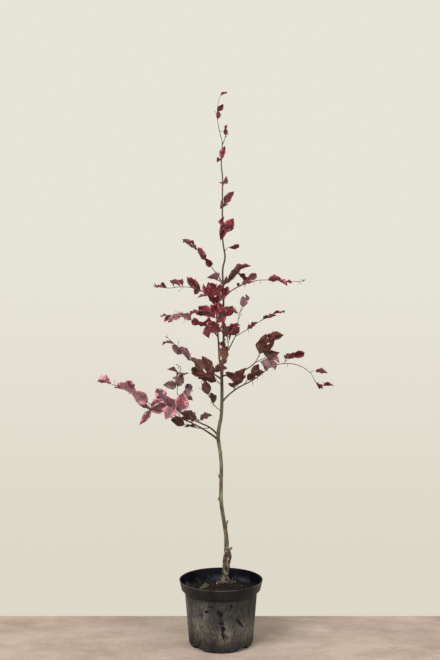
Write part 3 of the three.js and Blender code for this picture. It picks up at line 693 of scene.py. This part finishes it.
def trunk_radius(point, outward, share):
    height = point.z
    climb = height - TRUNK_STATIONS[0][0]
    azimuth = atan2(outward.y, outward.x)
    ridge = 1 + FLARE_DEPTH * cos(FLARE_RIDGES * azimuth - radians(FLARE_TURN))
    radius = trunk_girth(height) + FLARE_SPREAD * ridge * exp(-max(0, climb) / FLARE_HEIGHT)
    for level, facing, half, lift in SWELLINGS:
        if abs(height - level) < 3 * half:
            away = acos(max(-1, min(1, cos(azimuth - radians(facing)))))
            radius += lift * exp(-((height - level) / half) ** 2 - (away / SWELLING_HALF_TURN) ** 2)
    rough = 0.25 + 0.75 * (1 - smooth_step(GRAFT_TOP - GRAFT_FADE, GRAFT_TOP + GRAFT_FADE, height))
    thin = min(1, trunk_girth(height) / 0.006)
    return radius + thin * bark_relief(point + outward * radius, rough * thin)


def tapering(thick, foot, tip, rough):
    """A radius that goes from one share of thick to another along a limb, with the bark's relief on it."""
    def radius_at(point, outward, share):
        return thick * (foot - (foot - tip) * share) + bark_relief(point + outward * thick, rough)

    return radius_at


def bark_finish(name, young):
    """Beech bark: smooth grey-green with pale lenticels, browner where young, scaly at the graft."""
    finish = Finish(name)
    height = finish.part("Z")
    mottle = finish.cloud(70, 5, 0.35, 0.6)
    patches = finish.cloud(22, 4, 0.3)
    dots = finish.cloud(620, 2, 2.6, 0.4)
    cracks = finish.cloud(330, 4, 0.16, 0.6)
    if young:
        colour = finish.mix(mottle.between(0.3, 0.7), (58, 40, 37), (104, 82, 70))
        layers = [(patches.between(0.5, 0.7) * 0.5, (88, 86, 64))]
    else:
        colour = finish.mix(mottle.between(0.34, 0.66), (54, 52, 38), (140, 135, 110))
        scaly = 1 - height.between(0.29, 0.35)
        dark = finish.cloud(64, 5, 0.8, 0.6).between(0.47, 0.55)
        pale = finish.cloud(82, 4, 0.7).between(0.57, 0.64) * height.between(0.21, 0.225)
        layers = [
            (patches.between(0.45, 0.65) * 0.6, (106, 88, 68)),
            (patches.between(0.25, 0.4) * -0.5 + 0.5, (80, 90, 62)),
            (height.between(0.58, 0.8) * 0.7, (72, 68, 50)),
            (height.between(0.8, 1.2) * 0.6, (70, 50, 42)),
            (scaly * 0.75, finish.mix(mottle.between(0.35, 0.65), (74, 58, 48), (134, 118, 102))),
            (scaly * dark * 0.92, (26, 19, 18)),
            (scaly * pale * 0.85, (184, 173, 158)),
        ]
    spots = (dots.between(0.66, 0.72) * 0.6, (168, 158, 138))
    clefts = (cracks.between(0.6, 0.72) * 0.55, (42, 33, 28))
    colour = finish.layered(colour, *layers, spots, clefts)
    return finish.surface(colour, 0.55 + 0.3 * mottle, cracks * -0.6 + dots * 0.4 + mottle, 0.0007, 0.3)


trunk_line = curve_through(
    [Vector((lean, depth, height)) for height, lean, depth, _ in TRUNK_STATIONS], STATION_STEPS
)
trunk_shape = bmesh.new()
add_limb(trunk_shape, trunk_line, TRUNK_SIDES, round(trunk_line.length / TRUNK_RING), trunk_radius)
for level, facing, reach, climb, thick in STUBS:
    start = trunk_line.at_height(level)
    run = heading_of(facing, climb) * reach + heading_of(facing, 0) * trunk_girth(level) * 0.9
    stub = [start + run * step / STUB_STEPS for step in range(STUB_STEPS + 1)]
    taper = tapering(thick, foot=1.25, tip=0.9, rough=0.5)
    add_limb(trunk_shape, Line(stub), sides=12, rings=14, radius_at=taper)
for facing, reach, thick in ROOTS:
    course = []
    for step in range(ROOT_STEPS + 1):
        share = step / ROOT_STEPS
        out = ROOT_START + reach * share
        wander = radians(facing) + 0.35 * sin(3 * share + facing)
        x = TRUNK_FOOT[0] + out * cos(wander)
        y = TRUNK_FOOT[1] + out * sin(wander)
        lift = ROOT_CLIMB * (1 - share) ** 1.5 - ROOT_SUNK * share
        course.append(Vector((x, y, compost_top(x, y) + lift)))
    taper = tapering(thick, foot=1.1, tip=0.3, rough=0.35)
    add_limb(trunk_shape, Line(course), sides=12, rings=26, radius_at=taper)
trunk = finished("trunk_bark", trunk_shape, [bark_finish("old_bark", False)], sharp=50)
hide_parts("trunk")


# The boughs. Each leaves the trunk or another bough through a swollen collar and tapers to the stem
# of its foliage, with the ring scars of its bud scales.
Bough = namedtuple("Bough", "name on place azimuth length rise radius")
# A place is a height on the trunk, or a share of the carrier's length. The rise is its climb in degrees.
BOUGHS = [Bough(*row) for row in (
    ("low_left_bough", "trunk", 0.684, 203, 0.25, (38, 25, 19), (0.0032, 0.0016)),
    ("low_left_back_bough", "trunk", 0.698, 148, 0.127, (46, 16, 19), (0.003, 0.002)),
    ("low_left_upright", "low_left_back_bough", 1, 128, 0.113, (46, 48), (0.0018, 0.0013)),
    ("mid_left_bough", "trunk", 0.887, 160, 0.099, (32, 28), (0.0026, 0.0017)),
    ("left_stem", "trunk", 0.908, 192, 0.214, (76, 88, 84, 91), (0.0036, 0.0024)),
    ("crimson_bough", "left_stem", 1, 205, 0.123, (69, 41, 5), (0.0021, 0.0013)),
    ("left_stem_side_bough", "left_stem", 0.58, 150, 0.102, (44, 16), (0.002, 0.0014)),
    ("upper_left_bough", "trunk", 1.207, 140, 0.061, (60, 43), (0.0019, 0.0015)),
    ("upper_right_bough", "trunk", 1.16, 335, 0.138, (48, 21, 11), (0.0021, 0.0013)),
    ("right_fork_bough", "trunk", 0.958, 45, 0.105, (45, 58), (0.0024, 0.0016)),
    ("mid_right_bough", "trunk", 0.898, 320, 0.151, (11, 13, 39), (0.0026, 0.0017)),
    ("low_right_bough", "trunk", 0.81, 14, 0.199, (50, 23, 43), (0.0028, 0.0016)),
    ("low_right_outer_bough", "low_right_bough", 1, 348, 0.162, (29, -5, -47), (0.0015, 0.001)),
)]
COURSE_STEPS = 24
BOUGH_SIDES = 12
BOUGH_RING = 0.002
# The collar at a bough's foot, in radii of that foot: how much it adds and how far it runs out.
COLLAR_SWELL = 0.9
COLLAR_REACH = 3.2
SCAR_SPACING = 0.021
SCAR_HALF = 0.0011
SCAR_HEIGHT = 0.00028


def part_way(values, share):
    """The value at a share of the way through a list of values."""
    place = share * (len(values) - 1)
    before = min(len(values) - 2, int(place))
    return values[before] + (values[before + 1] - values[before]) * (place - before)


def course_of(row):
    """The course of a bough or stem: equal steps that head off by its azimuth and climb by its rise."""
    carrier = limb_lines[row.on]
    on_trunk = row.on == "trunk"
    points = [carrier.at_height(row.place) if on_trunk else carrier.at(row.place * carrier.length)[0]]
    for index in range(COURSE_STEPS):
        heading = heading_of(row.azimuth, part_way(row.rise, (index + 0.5) / COURSE_STEPS))
        points.append(points[-1] + heading * row.length / COURSE_STEPS)
    return Line(points)


limb_lines = {"trunk": trunk_line}
bough_shape = bmesh.new()
for row in BOUGHS:
    line = limb_lines[row.name] = course_of(row)
    foot, tip = row.radius

    def bough_radius(point, outward, share):
        distance = share * line.length
        collar = COLLAR_SWELL * foot * exp(-distance / (COLLAR_REACH * foot))
        off_scar = ((distance / SCAR_SPACING) % 1 - 0.5) * SCAR_SPACING
        scar = SCAR_HEIGHT * exp(-(off_scar / SCAR_HALF) ** 2)
        lumps = scar + 0.7 * bark_relief(point + outward * foot, 0.12)
        return foot + (tip - foot) * share + collar + lumps

    add_limb(bough_shape, line, BOUGH_SIDES, round(line.length / BOUGH_RING), bough_radius)
boughs = finished("bough_bark", bough_shape, [bark_finish("young_bark", True)], sharp=50)
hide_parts(*[row.name for row in BOUGHS])


# The stems of the sprays. Each carries leaves to either side, some on short spurs, and finer bare twigs
# with the long pointed buds of a beech. Blades are the rough lengths of its first and its last leaf.
Spray = namedtuple("Spray", "name on place azimuth length rise blades tint seeds")
SPRAYS = [Spray(*row) for row in (
    ("far_left_spray", "low_left_bough", 1, 185, 0.189, (42, 25, 24), (0.075, 0.05), "rose",
     (1074, 575, 2035, 1002, 192, 616)),
    ("hanging_left_spray", "low_left_bough", 0.93, 202, 0.08, (4, 31), (0.06, 0.024), "rose",
     (611, 973, 1356)),
    ("rose_spray", "low_left_bough", 0.62, 215, 0.094, (56, 28), (0.072, 0.054), "rose",
     (43, 2153, 1917, 1576, 175, 621)),
    ("upright_left_spray", "low_left_upright", 1, 130, 0.095, (91, 114), (0.068, 0.039), "mauve",
     (2138, 740, 455, 922, 2478, 339, 500)),
    ("mauve_spray", "low_left_upright", 0.7, 62, 0.09, (26, 12), (0.046, 0.036), "mauve",
     (841, 1221, 642, 1010, 951)),
    ("low_left_under_spray", "low_left_back_bough", 0.32, 195, 0.113, (-9, 14, 32), (0.055, 0.052), "dark",
     (1584, 732, 1317)),
    ("inner_left_spray", "low_left_back_bough", 0.69, 268, 0.09, (22, 4), (0.058, 0.052), "dark",
     (474, 261, 1045, 1039)),
    ("left_twig_spray", "trunk", 0.78, 215, 0.116, (24, 61, 42), (0.05, 0.052), "dark", (428, 175, 872)),
    ("mid_left_spray", "mid_left_bough", 1, 172, 0.139, (25, 49, 38), (0.054, 0.034), "mauve",
     (75, 2027, 2355, 1759, 2101, 1348, 497)),
    ("big_left_spray", "trunk", 0.864, 247, 0.15, (30, 6), (0.072, 0.066), "dark",
     (404, 287, 157, 1229, 582)),
    ("crossing_spray", "mid_left_bough", 0.34, 281, 0.062, (35, 5), (0.044, 0.044), "dark",
     (1112, 86, 1209)),
    ("crimson_tip_spray", "crimson_bough", 1, 182, 0.121, (10, -10, 24), (0.039, 0.03), "crimson",
     (1210, 144, 741, 672, 334, 497)),
    ("crimson_side_spray", "crimson_bough", 0.62, 150, 0.052, (24, 41), (0.062, 0.052), "crimson",
     (204, 1035, 674, 323)),
    ("crimson_spray", "left_stem", 0.97, 262, 0.14, (42, 8), (0.058, 0.054), "crimson",
     (59, 443, 157, 712, 1238, 179, 549)),
    ("left_red_spray", "left_stem", 0.86, 205, 0.057, (41, 11), (0.057, 0.05), "crimson",
     (1941, 1851, 1174, 976, 548)),
    ("left_tip_spray", "left_stem_side_bough", 1, 176, 0.122, (24, 13, -11), (0.043, 0.026), "rose",
     (319, 1488, 245, 1349, 284, 449, 497)),
    ("left_under_spray", "left_stem_side_bough", 0.39, 258, 0.11, (20, 0), (0.046, 0.052), "crimson",
     (66, 361, 384, 804, 1585, 512)),
    ("upper_left_spray", "upper_left_bough", 1, 155, 0.155, (48, 51, 22), (0.044, 0.034), "crimson",
     (517, 701, 919, 989, 690, 557, 993)),
    ("upper_left_leaf_spray", "trunk", 1.204, 232, 0.03, (40, 30), (0.068, 0.068), "mauve", (1961,)),
    ("right_crown_spray", "trunk", 1.196, 68, 0.118, (44, 14), (0.075, 0.066), "dark",
     (1455, 11, 1839, 1159)),
    ("leader_low_spray", "trunk", 1.317, 300, 0.024, (40, 20), (0.05, 0.05), "crimson", (1024,)),
    ("leader_mid_spray", "trunk", 1.363, 280, 0.06, (40, 12), (0.062, 0.055), "crimson", (1069, 851, 1636)),
    ("leader_high_spray", "trunk", 1.464, 70, 0.028, (45, 35), (0.055, 0.048), "crimson", (714, 1582)),
    ("leader_upper_spray", "trunk", 1.537, 300, 0.018, (45, 35), (0.057, 0.057), "crimson", (2010,)),
    ("leader_top_spray", "trunk", 1.617, 262, 0.02, (45, 25), (0.046, 0.04), "crimson", (642, 736)),
    ("leader_twig_spray", "trunk", 1.677, 40, 0.053, (60, 80), (0.03, 0.026), "crimson", (1766, 552)),
    ("leader_tip_spray", "trunk", 1.687, 170, 0.159, (72, 83, 111), (0.027, 0.034), "crimson",
     (1024, 1027, 2193, 288)),
    ("upper_right_tip_spray", "upper_right_bough", 1, 352, 0.153, (5, -7, 3), (0.046, 0.016), "crimson",
     (1798, 1204, 1856, 2126, 803)),
    ("upper_right_spray", "upper_right_bough", 0.45, 20, 0.03, (34, 41), (0.026, 0.048), "crimson",
     (101, 605, 484)),
    ("front_crimson_spray", "trunk", 1.15, 272, 0.07, (30, 5), (0.044, 0.044), "crimson", (555, 1266, 1291)),
    ("right_red_spray", "trunk", 1.08, 278, 0.14, (30, 2), (0.05, 0.046), "crimson",
     (1069, 475, 965, 485, 948, 1072)),
    ("right_deep_spray", "right_fork_bough", 0.37, 92, 0.14, (42, 14), (0.056, 0.052), "crimson",
     (1508, 1012, 117, 216, 29, 122)),
    ("right_upright_spray", "right_fork_bough", 0.96, 60, 0.143, (75, 67, 20), (0.034, 0.048), "mauve",
     (326, 2277, 2335)),
    ("right_arch_spray", "right_fork_bough", 0.9, 15, 0.183, (27, 34, 15), (0.04, 0.038), "crimson",
     (674, 1142, 2083, 948, 2310, 334)),
    ("withered_spray", "trunk", 1.001, 285, 0.034, (10, -25), (0.066, 0.057), "bronze", (1205, 1693)),
    ("dark_right_spray", "mid_right_bough", 1, 340, 0.09, (58, 64, 37), (0.071, 0.075), "dark",
     (701, 1502, 1450, 2298, 563)),
    ("mid_right_spray", "mid_right_bough", 0.97, 25, 0.048, (35, 5), (0.052, 0.046), "mauve",
     (895, 851, 236, 864)),
    ("right_inner_spray", "low_right_bough", 0.28, 280, 0.09, (28, 8), (0.052, 0.062), "dark",
     (303, 1055, 599, 732)),
    ("low_right_spray", "low_right_bough", 0.48, 345, 0.044, (51, 46), (0.044, 0.046), "dark",
     (833, 1186, 39)),
    ("low_right_outer_spray", "low_right_outer_bough", 0.37, 350, 0.02, (72, 79), (0.042, 0.054), "crimson",
     (430, 1221, 1174)),
    ("low_right_bend_spray", "low_right_outer_bough", 0.95, 8, 0.016, (25, 11), (0.044, 0.044), "crimson",
     (160,)),
    ("low_right_tip_spray", "low_right_outer_bough", 1, 8, 0.071, (-64, -58, 39), (0.044, 0.034), "crimson",
     (333, 1144, 785, 991)),
)]
STEM_FOOT = 0.0013
STEM_FOOT_SHARE = 0.9
STEM_TIP = 0.0007
STEM_BARE = 0.1
STEEP = 0.95
# A leaf's spur is a draw of the most less the cut, so that most leaves sit on the stem itself.
SPUR_MOST = 0.036
SPUR_CUT = 0.022
# A leaf's own rule, in degrees and shares. A pair is the least value and what a draw may add to it, and
# the nod and the roll go up to their values either way.
STALK_SHARE = 0.1
SWING = (15, 55)
NOD = 60
ROLL = 85
LENGTH_SHARE = (0.85, 0.3)
BREADTH_SHARE = (0.5, 0.16)
FOLD = (10, 50)
DROOP = (5, 55)
STEM_SIDES = 7
STEM_RING = 0.002
KNEE_HALF = 0.0016
SPUR_RADIUS = 0.0009
STALK_RADIUS = 0.0008
STALK_WAIST = 0.0003
TWIG_RADIUS = 0.00065
TWIG_TAPER = 0.0001
TWIG_SPACING = 0.04
TWIG_PLACE = (0.2, 0.95)
TWIG_ASIDE = (0.6, 1.1)
TWIG_LENGTH = (0.006, 0.018)
TWIG_STEPS = 6
TWIG_RISE = Vector((0, 0, 0.5))
AXIL_BUD = (0.004, 0.007)
TIP_BUD = (0.006, 0.010)
BUD_BREADTH = 0.13
TWIG, STALK, BUD = 0, 1, 2
SEED_SPREAD = 7919
MULTIPLIER = 16807
MODULUS = 2 ** 31 - 1


def draws_from(seed):
    """A multiplicative generator of numbers between 0 and 1, past its first three draws."""
    state = seed * SEED_SPREAD * MULTIPLIER ** 3 % MODULUS
    while True:
        state = state * MULTIPLIER % MODULUS
        yield state / MODULUS


def swung(direction, angle, axis):
    """A direction turned by an angle in degrees about an axis."""
    return Matrix.Rotation(radians(angle), 3, axis) @ direction


def drawn(pair, draws):
    """The pair's least value and a draw's share of what may be added to it."""
    return pair[0] + pair[1] * next(draws)


class Leaf:
    """One leaf of a spray, grown from a seed of its own by the rule that grew the solid's leaf."""

    def __init__(self, spray, stem, index):
        draws = draws_from(spray.seeds[index])
        count = len(spray.seeds)
        last = index == count - 1
        self.share = 1 if last else STEM_BARE + (1 - STEM_BARE) * (index + next(draws)) / count
        self.foot, heading = stem.at(self.share * stem.length)
        rough = Vector((0, -1, 0)) if abs(heading.z) > STEEP else Vector((0, 0, 1))
        up = (rough - heading * rough.dot(heading)).normalized()
        hand = -1 if next(draws) < 0.5 else 1
        along = swung(heading, hand * drawn(SWING, draws), up)
        self.root = self.foot + along * max(0, SPUR_MOST * next(draws) - SPUR_CUT)
        across = along.cross(up).normalized()
        self.along = swung(along, NOD * (2 * next(draws) - 1), across)
        self.across = swung(across, ROLL * (2 * next(draws) - 1), self.along)
        self.normal = self.across.cross(self.along)
        first, final = spray.blades
        blade = first + (final - first) * index / max(1, count - 1)
        self.length = blade * drawn(LENGTH_SHARE, draws)
        self.breadth = drawn(BREADTH_SHARE, draws)
        self.fold = radians(drawn(FOLD, draws))
        self.droop = radians(drawn(DROOP, draws))

    def place(self, share, side, lift=0.0):
        """A point of the blade: side from -1 to 1 across it, lift in metres off its face."""
        open_share = max(0, (share - STALK_SHARE) / (1 - STALK_SHARE))
        half = self.length * self.breadth * 0.5 * sin(pi * open_share ** 0.85)
        bend = max(1e-6, self.droop * share)
        forward = self.length * share * sin(bend) / bend
        fall = self.length * share * (1 - cos(bend)) / bend
        face = self.normal * cos(bend) + self.along * sin(bend)
        return (
            self.root + self.along * forward - self.normal * fall
            + self.across * (half * side * cos(self.fold))
            + face * (half * abs(side) * sin(self.fold) + lift)
        )


def twig_finish(name, dark, light, rough):
    finish = Finish(name)
    streaks = finish.cloud(180, 4, 0.5)
    dots = finish.cloud(900, 2)
    colour = finish.mix(streaks.between(0.3, 0.7), dark, light)
    colour = finish.layered(colour, (dots.between(0.64, 0.7) * 0.5, (150, 130, 112)))
    return finish.surface(colour, rough + 0.25 * streaks, streaks + dots * 0.5, 0.0004, 0.3)


def add_bud(shape, point, heading, long):
    """A long pointed bud: a ball drawn out to a point at both ends, slimmer towards the tip."""
    made = bmesh.ops.create_uvsphere(shape, u_segments=6, v_segments=6, radius=1)["verts"]
    turn = heading.to_track_quat("Z", "Y").to_matrix().to_4x4()
    for vertex in made:
        share = (vertex.co.z + 1) / 2
        slim = BUD_BREADTH * long * (1.25 - 0.75 * share)
        vertex.co = Vector((vertex.co.x * slim, vertex.co.y * slim, share * long))
    bmesh.ops.transform(shape, matrix=Matrix.Translation(point) @ turn, verts=made)
    for face in faces_of(made):
        face.material_index = BUD


def absorb(shape, part):
    """Moves a small bmesh into a larger one, because operators take less time in the small one."""
    carried = bpy.data.meshes.new("carried")
    part.to_mesh(carried)
    part.free()
    shape.from_mesh(carried)
    bpy.data.meshes.remove(carried)


def slimmer(radius, less):
    """A limb's radius, which falls off by an amount towards its tip."""
    return lambda point, outward, share: radius - less * share


def bare_twig(shape, line, draw):
    """Adds a fine twig that leaves a stem to any side, bends upwards and ends in a bud."""
    start, heading = line.at(draw.uniform(*TWIG_PLACE) * line.length)
    aside = swung(heading.orthogonal(), degrees(draw.uniform(0, tau)), heading)
    heading = (heading + aside * draw.uniform(*TWIG_ASIDE)).normalized()
    long = draw.uniform(*TWIG_LENGTH)
    points = [start]
    for step in range(TWIG_STEPS):
        heading = (heading + TWIG_RISE / TWIG_STEPS).normalized()
        points.append(points[-1] + heading * long / TWIG_STEPS)
    twig = Line(points)
    add_limb(shape, twig, 5, 6, slimmer(TWIG_RADIUS, TWIG_TAPER), TWIG)
    add_bud(shape, points[-1], twig.heading(twig.length), draw.uniform(*TIP_BUD))


leaves = {}
twig_shape = bmesh.new()
for number, row in enumerate(SPRAYS):
    line = limb_lines[row.name] = course_of(row)
    leaves[row.name] = [Leaf(row, line, index) for index in range(len(row.seeds))]
    foot = STEM_FOOT
    if row.on != "trunk":
        carrier = next(bough for bough in BOUGHS if bough.name == row.on)
        foot = min(foot, STEM_FOOT_SHARE * part_way(carrier.radius, row.place))
    draw = random.Random(500 + number)
    twigs = bmesh.new()
    nodes = sorted(leaf.share * line.length for leaf in leaves[row.name])

    def stem_radius(point, outward, share):
        distance = share * line.length
        knee = sum(exp(-((distance - node) / KNEE_HALF) ** 2) for node in nodes)
        ripple = 0.08 * noise.noise(point * 500 + outward)
        return (foot + (STEM_TIP - foot) * share) * (1 + 0.3 * knee + ripple)

    add_limb(twigs, line, STEM_SIDES, max(8, round(line.length / STEM_RING)), stem_radius, TWIG)
    for leaf in leaves[row.name]:
        if (leaf.root - leaf.foot).length > STEM_TIP:
            spur = Line([leaf.foot.lerp(leaf.root, step / 5) for step in range(6)])
            add_limb(twigs, spur, 6, 5, slimmer(SPUR_RADIUS, TWIG_TAPER), TWIG)
        stalk = Line([leaf.place(STALK_SHARE * 1.5 * step / 6, 0) for step in range(7)])
        waist = lambda point, outward, share: STALK_RADIUS - STALK_WAIST * sin(2.6 * share)
        add_limb(twigs, stalk, 5, 6, waist, STALK)
        axil = (leaf.along + line.heading(leaf.share * line.length)).normalized()
        add_bud(twigs, leaf.foot, axil, draw.uniform(*AXIL_BUD))
    for _ in range(round(line.length / TWIG_SPACING)):
        bare_twig(twigs, line, draw)
    absorb(twig_shape, twigs)
twig_looks = [
    twig_finish("stem_bark", (52, 33, 32), (98, 72, 62), 0.4),
    twig_finish("leaf_stalk", (104, 36, 42), (150, 72, 76), 0.4),
    twig_finish("bud_scales", (76, 46, 34), (136, 92, 68), 0.35),
]
finished("stems_and_buds", twig_shape, twig_looks, sharp=60)


# The shed bud scales. Dry papery strips, tan pink and curled, still hang by one end under the young
# shoots. The list gives the limb that each hangs from and its places, as shares of the limb's length.
PAPER_SCALES = {
    "upper_right_bough": [0.42, 0.68, 0.93],
    "upper_right_tip_spray": [0.08],
    "low_right_bough": [0.66, 0.76, 0.88],
    "low_right_outer_bough": [0.12, 0.44],
    "left_stem_side_bough": [0.3, 0.62],
    "left_tip_spray": [0.1, 0.34],
    "crimson_bough": [0.55, 0.8],
    "left_twig_spray": [0.42, 0.5],
    "mid_right_bough": [0.5],
    "right_arch_spray": [0.3],
}
PAPER_LENGTH = (0.012, 0.021)
PAPER_BREADTH = (0.0020, 0.0034)
PAPER_TWIST = (-1.6, 1.6)
PAPER_SWAY = (-0.25, 0.25)
PAPER_CUP = 0.0006
PAPER_THICK = 0.0002


def thickened(piece, thick):
    """Gives a piece's sheets a thickness by a live modifier, half to each side."""
    shell = piece.modifiers.new("thickness", "SOLIDIFY")
    shell.thickness = thick
    shell.offset = 0
    return shell


draw = random.Random(700)
paper = bmesh.new()
for limb, place in [(limb_lines[name], place) for name, places in PAPER_SCALES.items() for place in places]:
    start = limb.at(place * limb.length)[0]
    long = draw.uniform(*PAPER_LENGTH)
    broad = draw.uniform(*PAPER_BREADTH)
    turn = draw.uniform(0, tau)
    twist = draw.uniform(*PAPER_TWIST)
    sway = Vector((draw.uniform(*PAPER_SWAY), draw.uniform(*PAPER_SWAY), 0))
    strip = bmesh.ops.create_grid(paper, x_segments=8, y_segments=2, size=0.5)["verts"]
    for vertex in strip:
        share = vertex.co.x + 0.5
        angle = turn + twist * share
        across = Vector((cos(angle), sin(angle), 0))
        cup = Vector((-across.y, across.x, 0)) * (PAPER_CUP * (1 - 4 * vertex.co.y ** 2))
        half = broad * sin(pi * (0.1 + 0.86 * share))
        hang = Vector((0, 0, -long * share)) + sway * long * share ** 2
        vertex.co = start + hang + across * vertex.co.y * half + cup
paper_look = twig_finish("dry_bud_paper", (166, 104, 88), (206, 150, 128), 0.7)
thickened(finished("bud_paper", paper, [paper_look], sharp=60), PAPER_THICK)


# The leaves. Each is a thin blade folded up along its sunk midrib, quilted between its side veins, with a
# waved and ragged edge. The edge, the flushes and the middle take colours of their own in a spray's tint.
BLADE_ROWS = 10
BLADE_SIDES = [-1, -0.76, -0.4, 0, 0.4, 0.76, 1]
BLADE_COLUMNS = len(BLADE_SIDES) - 1
BLADE_THICK = 0.0004
MIDRIB_SUNK = 0.0004
BLADE_MAP = "blade"
VEIN_PAIRS = 9
VEIN_SLANT = 1.4
WAVES = (1.8, 3.4)
OFFBEAT = (0.8, 2.4)
CURL = (-0.03, 0.06)
PUCKER = 0.045
TIP_ZONE = 0.96
MIDDLE, FLUSH, EDGE = 0, 1, 2
# The colours of a tint's middle, flushes, edge and underside, and how the zones lie: where the edge starts
# across the blade, how ragged it is and the level above which a flush shows. Then how high its edge waves
# in shares of its length, how torn it is and how far its blotches go.
Tint = namedtuple("Tint", "middle flush edge under starts ragged flushes wave torn mottled")
TINTS = {name: Tint(*row) for name, *row in (
    ("rose", (106, 86, 90), (166, 74, 94), (238, 160, 174), (148, 104, 111),
     0.62, 0.6, 0.1, (0.05, 0.10), 0.18, 0.4),
    ("mauve", (138, 113, 121), (98, 62, 67), (182, 112, 122), (130, 103, 106),
     0.74, 0.6, 0.06, (0.045, 0.09), 0.12, 0.4),
    ("crimson", (76, 28, 30), (138, 42, 54), (190, 88, 104), (104, 50, 50),
     0.72, 0.8, -0.02, (0.05, 0.10), 0.14, 0.4),
    ("dark", (74, 38, 31), (108, 58, 50), (150, 88, 84), (94, 62, 54),
     0.9, 0.4, 0.08, (0.045, 0.09), 0.09, 0.34),
    ("bronze", (88, 48, 36), (122, 76, 60), (158, 114, 94), (106, 70, 58),
     0.85, 0.3, 0.1, (0.07, 0.12), 0.12, 0.35),
)}


def leaf_finish(name, colour, rough, mottled):
    """One zone of a tint: its plain colour, quilted between side veins, lighter and darker in places."""
    finish = Finish(name)
    at = finish.node("ShaderNodeUVMap", {"uv_map": BLADE_MAP}, {})
    out = abs(2 * finish.part("Y", at) - 1)
    wobble = finish.cloud(120, 2)
    phase = VEIN_PAIRS * finish.part("X", at) - VEIN_SLANT * out + 0.5 * wobble
    pillow = abs(phase.math("SINE", pi * phase)) * out.between(0.02, 0.2)
    blotch = finish.cloud(60, 4)
    tone = srgb(*colour)
    deep = [*[part * (1 - mottled) for part in tone[:3]], 1]
    light = [*[min(1, part * (1 + 0.8 * mottled)) for part in tone[:3]], 1]
    shade = finish.mix(blotch.between(0.32, 0.68) * 0.7 + pillow * 0.3, deep, light)
    return finish.surface(shade, rough + 0.15 * wobble, pillow + 0.4 * blotch, 0.0012, 0.35)


def add_leaf(shape, leaf, tint, draw):
    """Adds one blade: a grid carried onto the leaf, with its zones dealt out to its faces."""
    places = shape.loops.layers.uv.verify()
    made = bmesh.ops.create_grid(shape, x_segments=BLADE_ROWS, y_segments=BLADE_COLUMNS, size=0.5)["verts"]
    wave = draw.uniform(*tint.wave)
    waves = draw.uniform(*WAVES)
    phase = draw.uniform(0, tau)
    offbeat = draw.uniform(*OFFBEAT)
    curl = draw.uniform(*CURL)
    seed = draw.uniform(0, 100)
    where = {}
    for vertex in made:
        open_share = vertex.co.x + 0.5
        share = STALK_SHARE + (1 - STALK_SHARE) * open_share
        side = BLADE_SIDES[round((vertex.co.y + 0.5) * BLADE_COLUMNS)]
        far = abs(side)
        loose = sin(pi * open_share)
        beat = phase + (offbeat if side > 0 else 0)
        ruffle = wave * far ** 1.8 * sin(tau * waves * share + beat) * loose
        pucker = PUCKER * far * noise.noise(Vector((share * 6.5, side * 2.2, seed + 7))) * loose
        rim = curl * far ** 3 * loose
        torn = 1 + tint.torn * far * noise.noise(Vector((share * 11, side, seed + 19)))
        lift = leaf.length * (ruffle + pucker + rim) - (0 if far else MIDRIB_SUNK)
        where[vertex] = (share, side)
        vertex.co = leaf.place(share, side * torn, lift)
    for face in faces_of(made):
        share = sum(where[vertex][0] for vertex in face.verts) / 4
        side = sum(where[vertex][1] for vertex in face.verts) / 4
        starts = tint.starts + tint.ragged * noise.noise(Vector((share * 4.5, side * 1.5, seed)))
        flush = noise.noise(Vector((share * 3.5 - abs(side) * 1.4, side * 2, seed + 40)))
        if abs(side) > starts or share > TIP_ZONE:
            face.material_index = EDGE
        else:
            face.material_index = FLUSH if flush > tint.flushes else MIDDLE
        for loop in face.loops:
            share, side = where[loop.vert]
            loop[places].uv = (share, (side + 1) / 2)
    bmesh.ops.remove_doubles(shape, verts=made, dist=1e-7)


for number, (name, tint) in enumerate(TINTS.items()):
    blades = bmesh.new()
    blades.loops.layers.uv.new(BLADE_MAP)
    draw = random.Random(900 + number)
    worn_by = [row.name for row in SPRAYS if row.tint == name]
    for leaf in [leaf for spray in worn_by for leaf in leaves[spray]]:
        add_leaf(blades, leaf, tint, draw)
    faded = [0.5 * (under + edge) for under, edge in zip(tint.under, tint.edge)]
    above = [("middle", tint.middle), ("flush", tint.flush), ("edge", tint.edge)]
    looks = [leaf_finish(f"{name}_{zone}", colour, 0.36, tint.mottled) for zone, colour in above]
    below = [("underside", tint.under), ("edge_below", faded)]
    under, under_edge = [leaf_finish(f"{name}_{zone}", colour, 0.5, tint.mottled) for zone, colour in below]
    title = f"{name}_leaves"
    foliage = finished(title, blades, [*looks, under, under, under_edge], sharp=75)
    # The underside of a blade takes the materials that stand as many places on as its face has.
    thickened(foliage, BLADE_THICK).material_offset = len(looks)
    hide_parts(*worn_by)


# The light. A soft, even daylight: a large overhead lamp in front of the plant on the left, a weaker
# one on the right, both aimed at the middle of the plant, and the pale air.
LIT_PLACE = (0, 0, 0.9)


def add_lamp(name, place, size, power, colour):
    lamp = bpy.data.lights.new(name, "AREA")
    lamp.shape = "DISK"
    lamp.size = size
    lamp.energy = power
    lamp.color = colour
    made = loose_object(name, lamp)
    made.location = place
    made.rotation_euler = (Vector(LIT_PLACE) - Vector(place)).to_track_quat("-Z", "Y").to_euler()


add_lamp("daylight", (-1.9, -2.6, 3.2), 2.2, 135, (1.0, 0.985, 0.965))
add_lamp("fill", (2.6, -1.8, 1.8), 2.0, 48, (0.97, 0.985, 1.0))
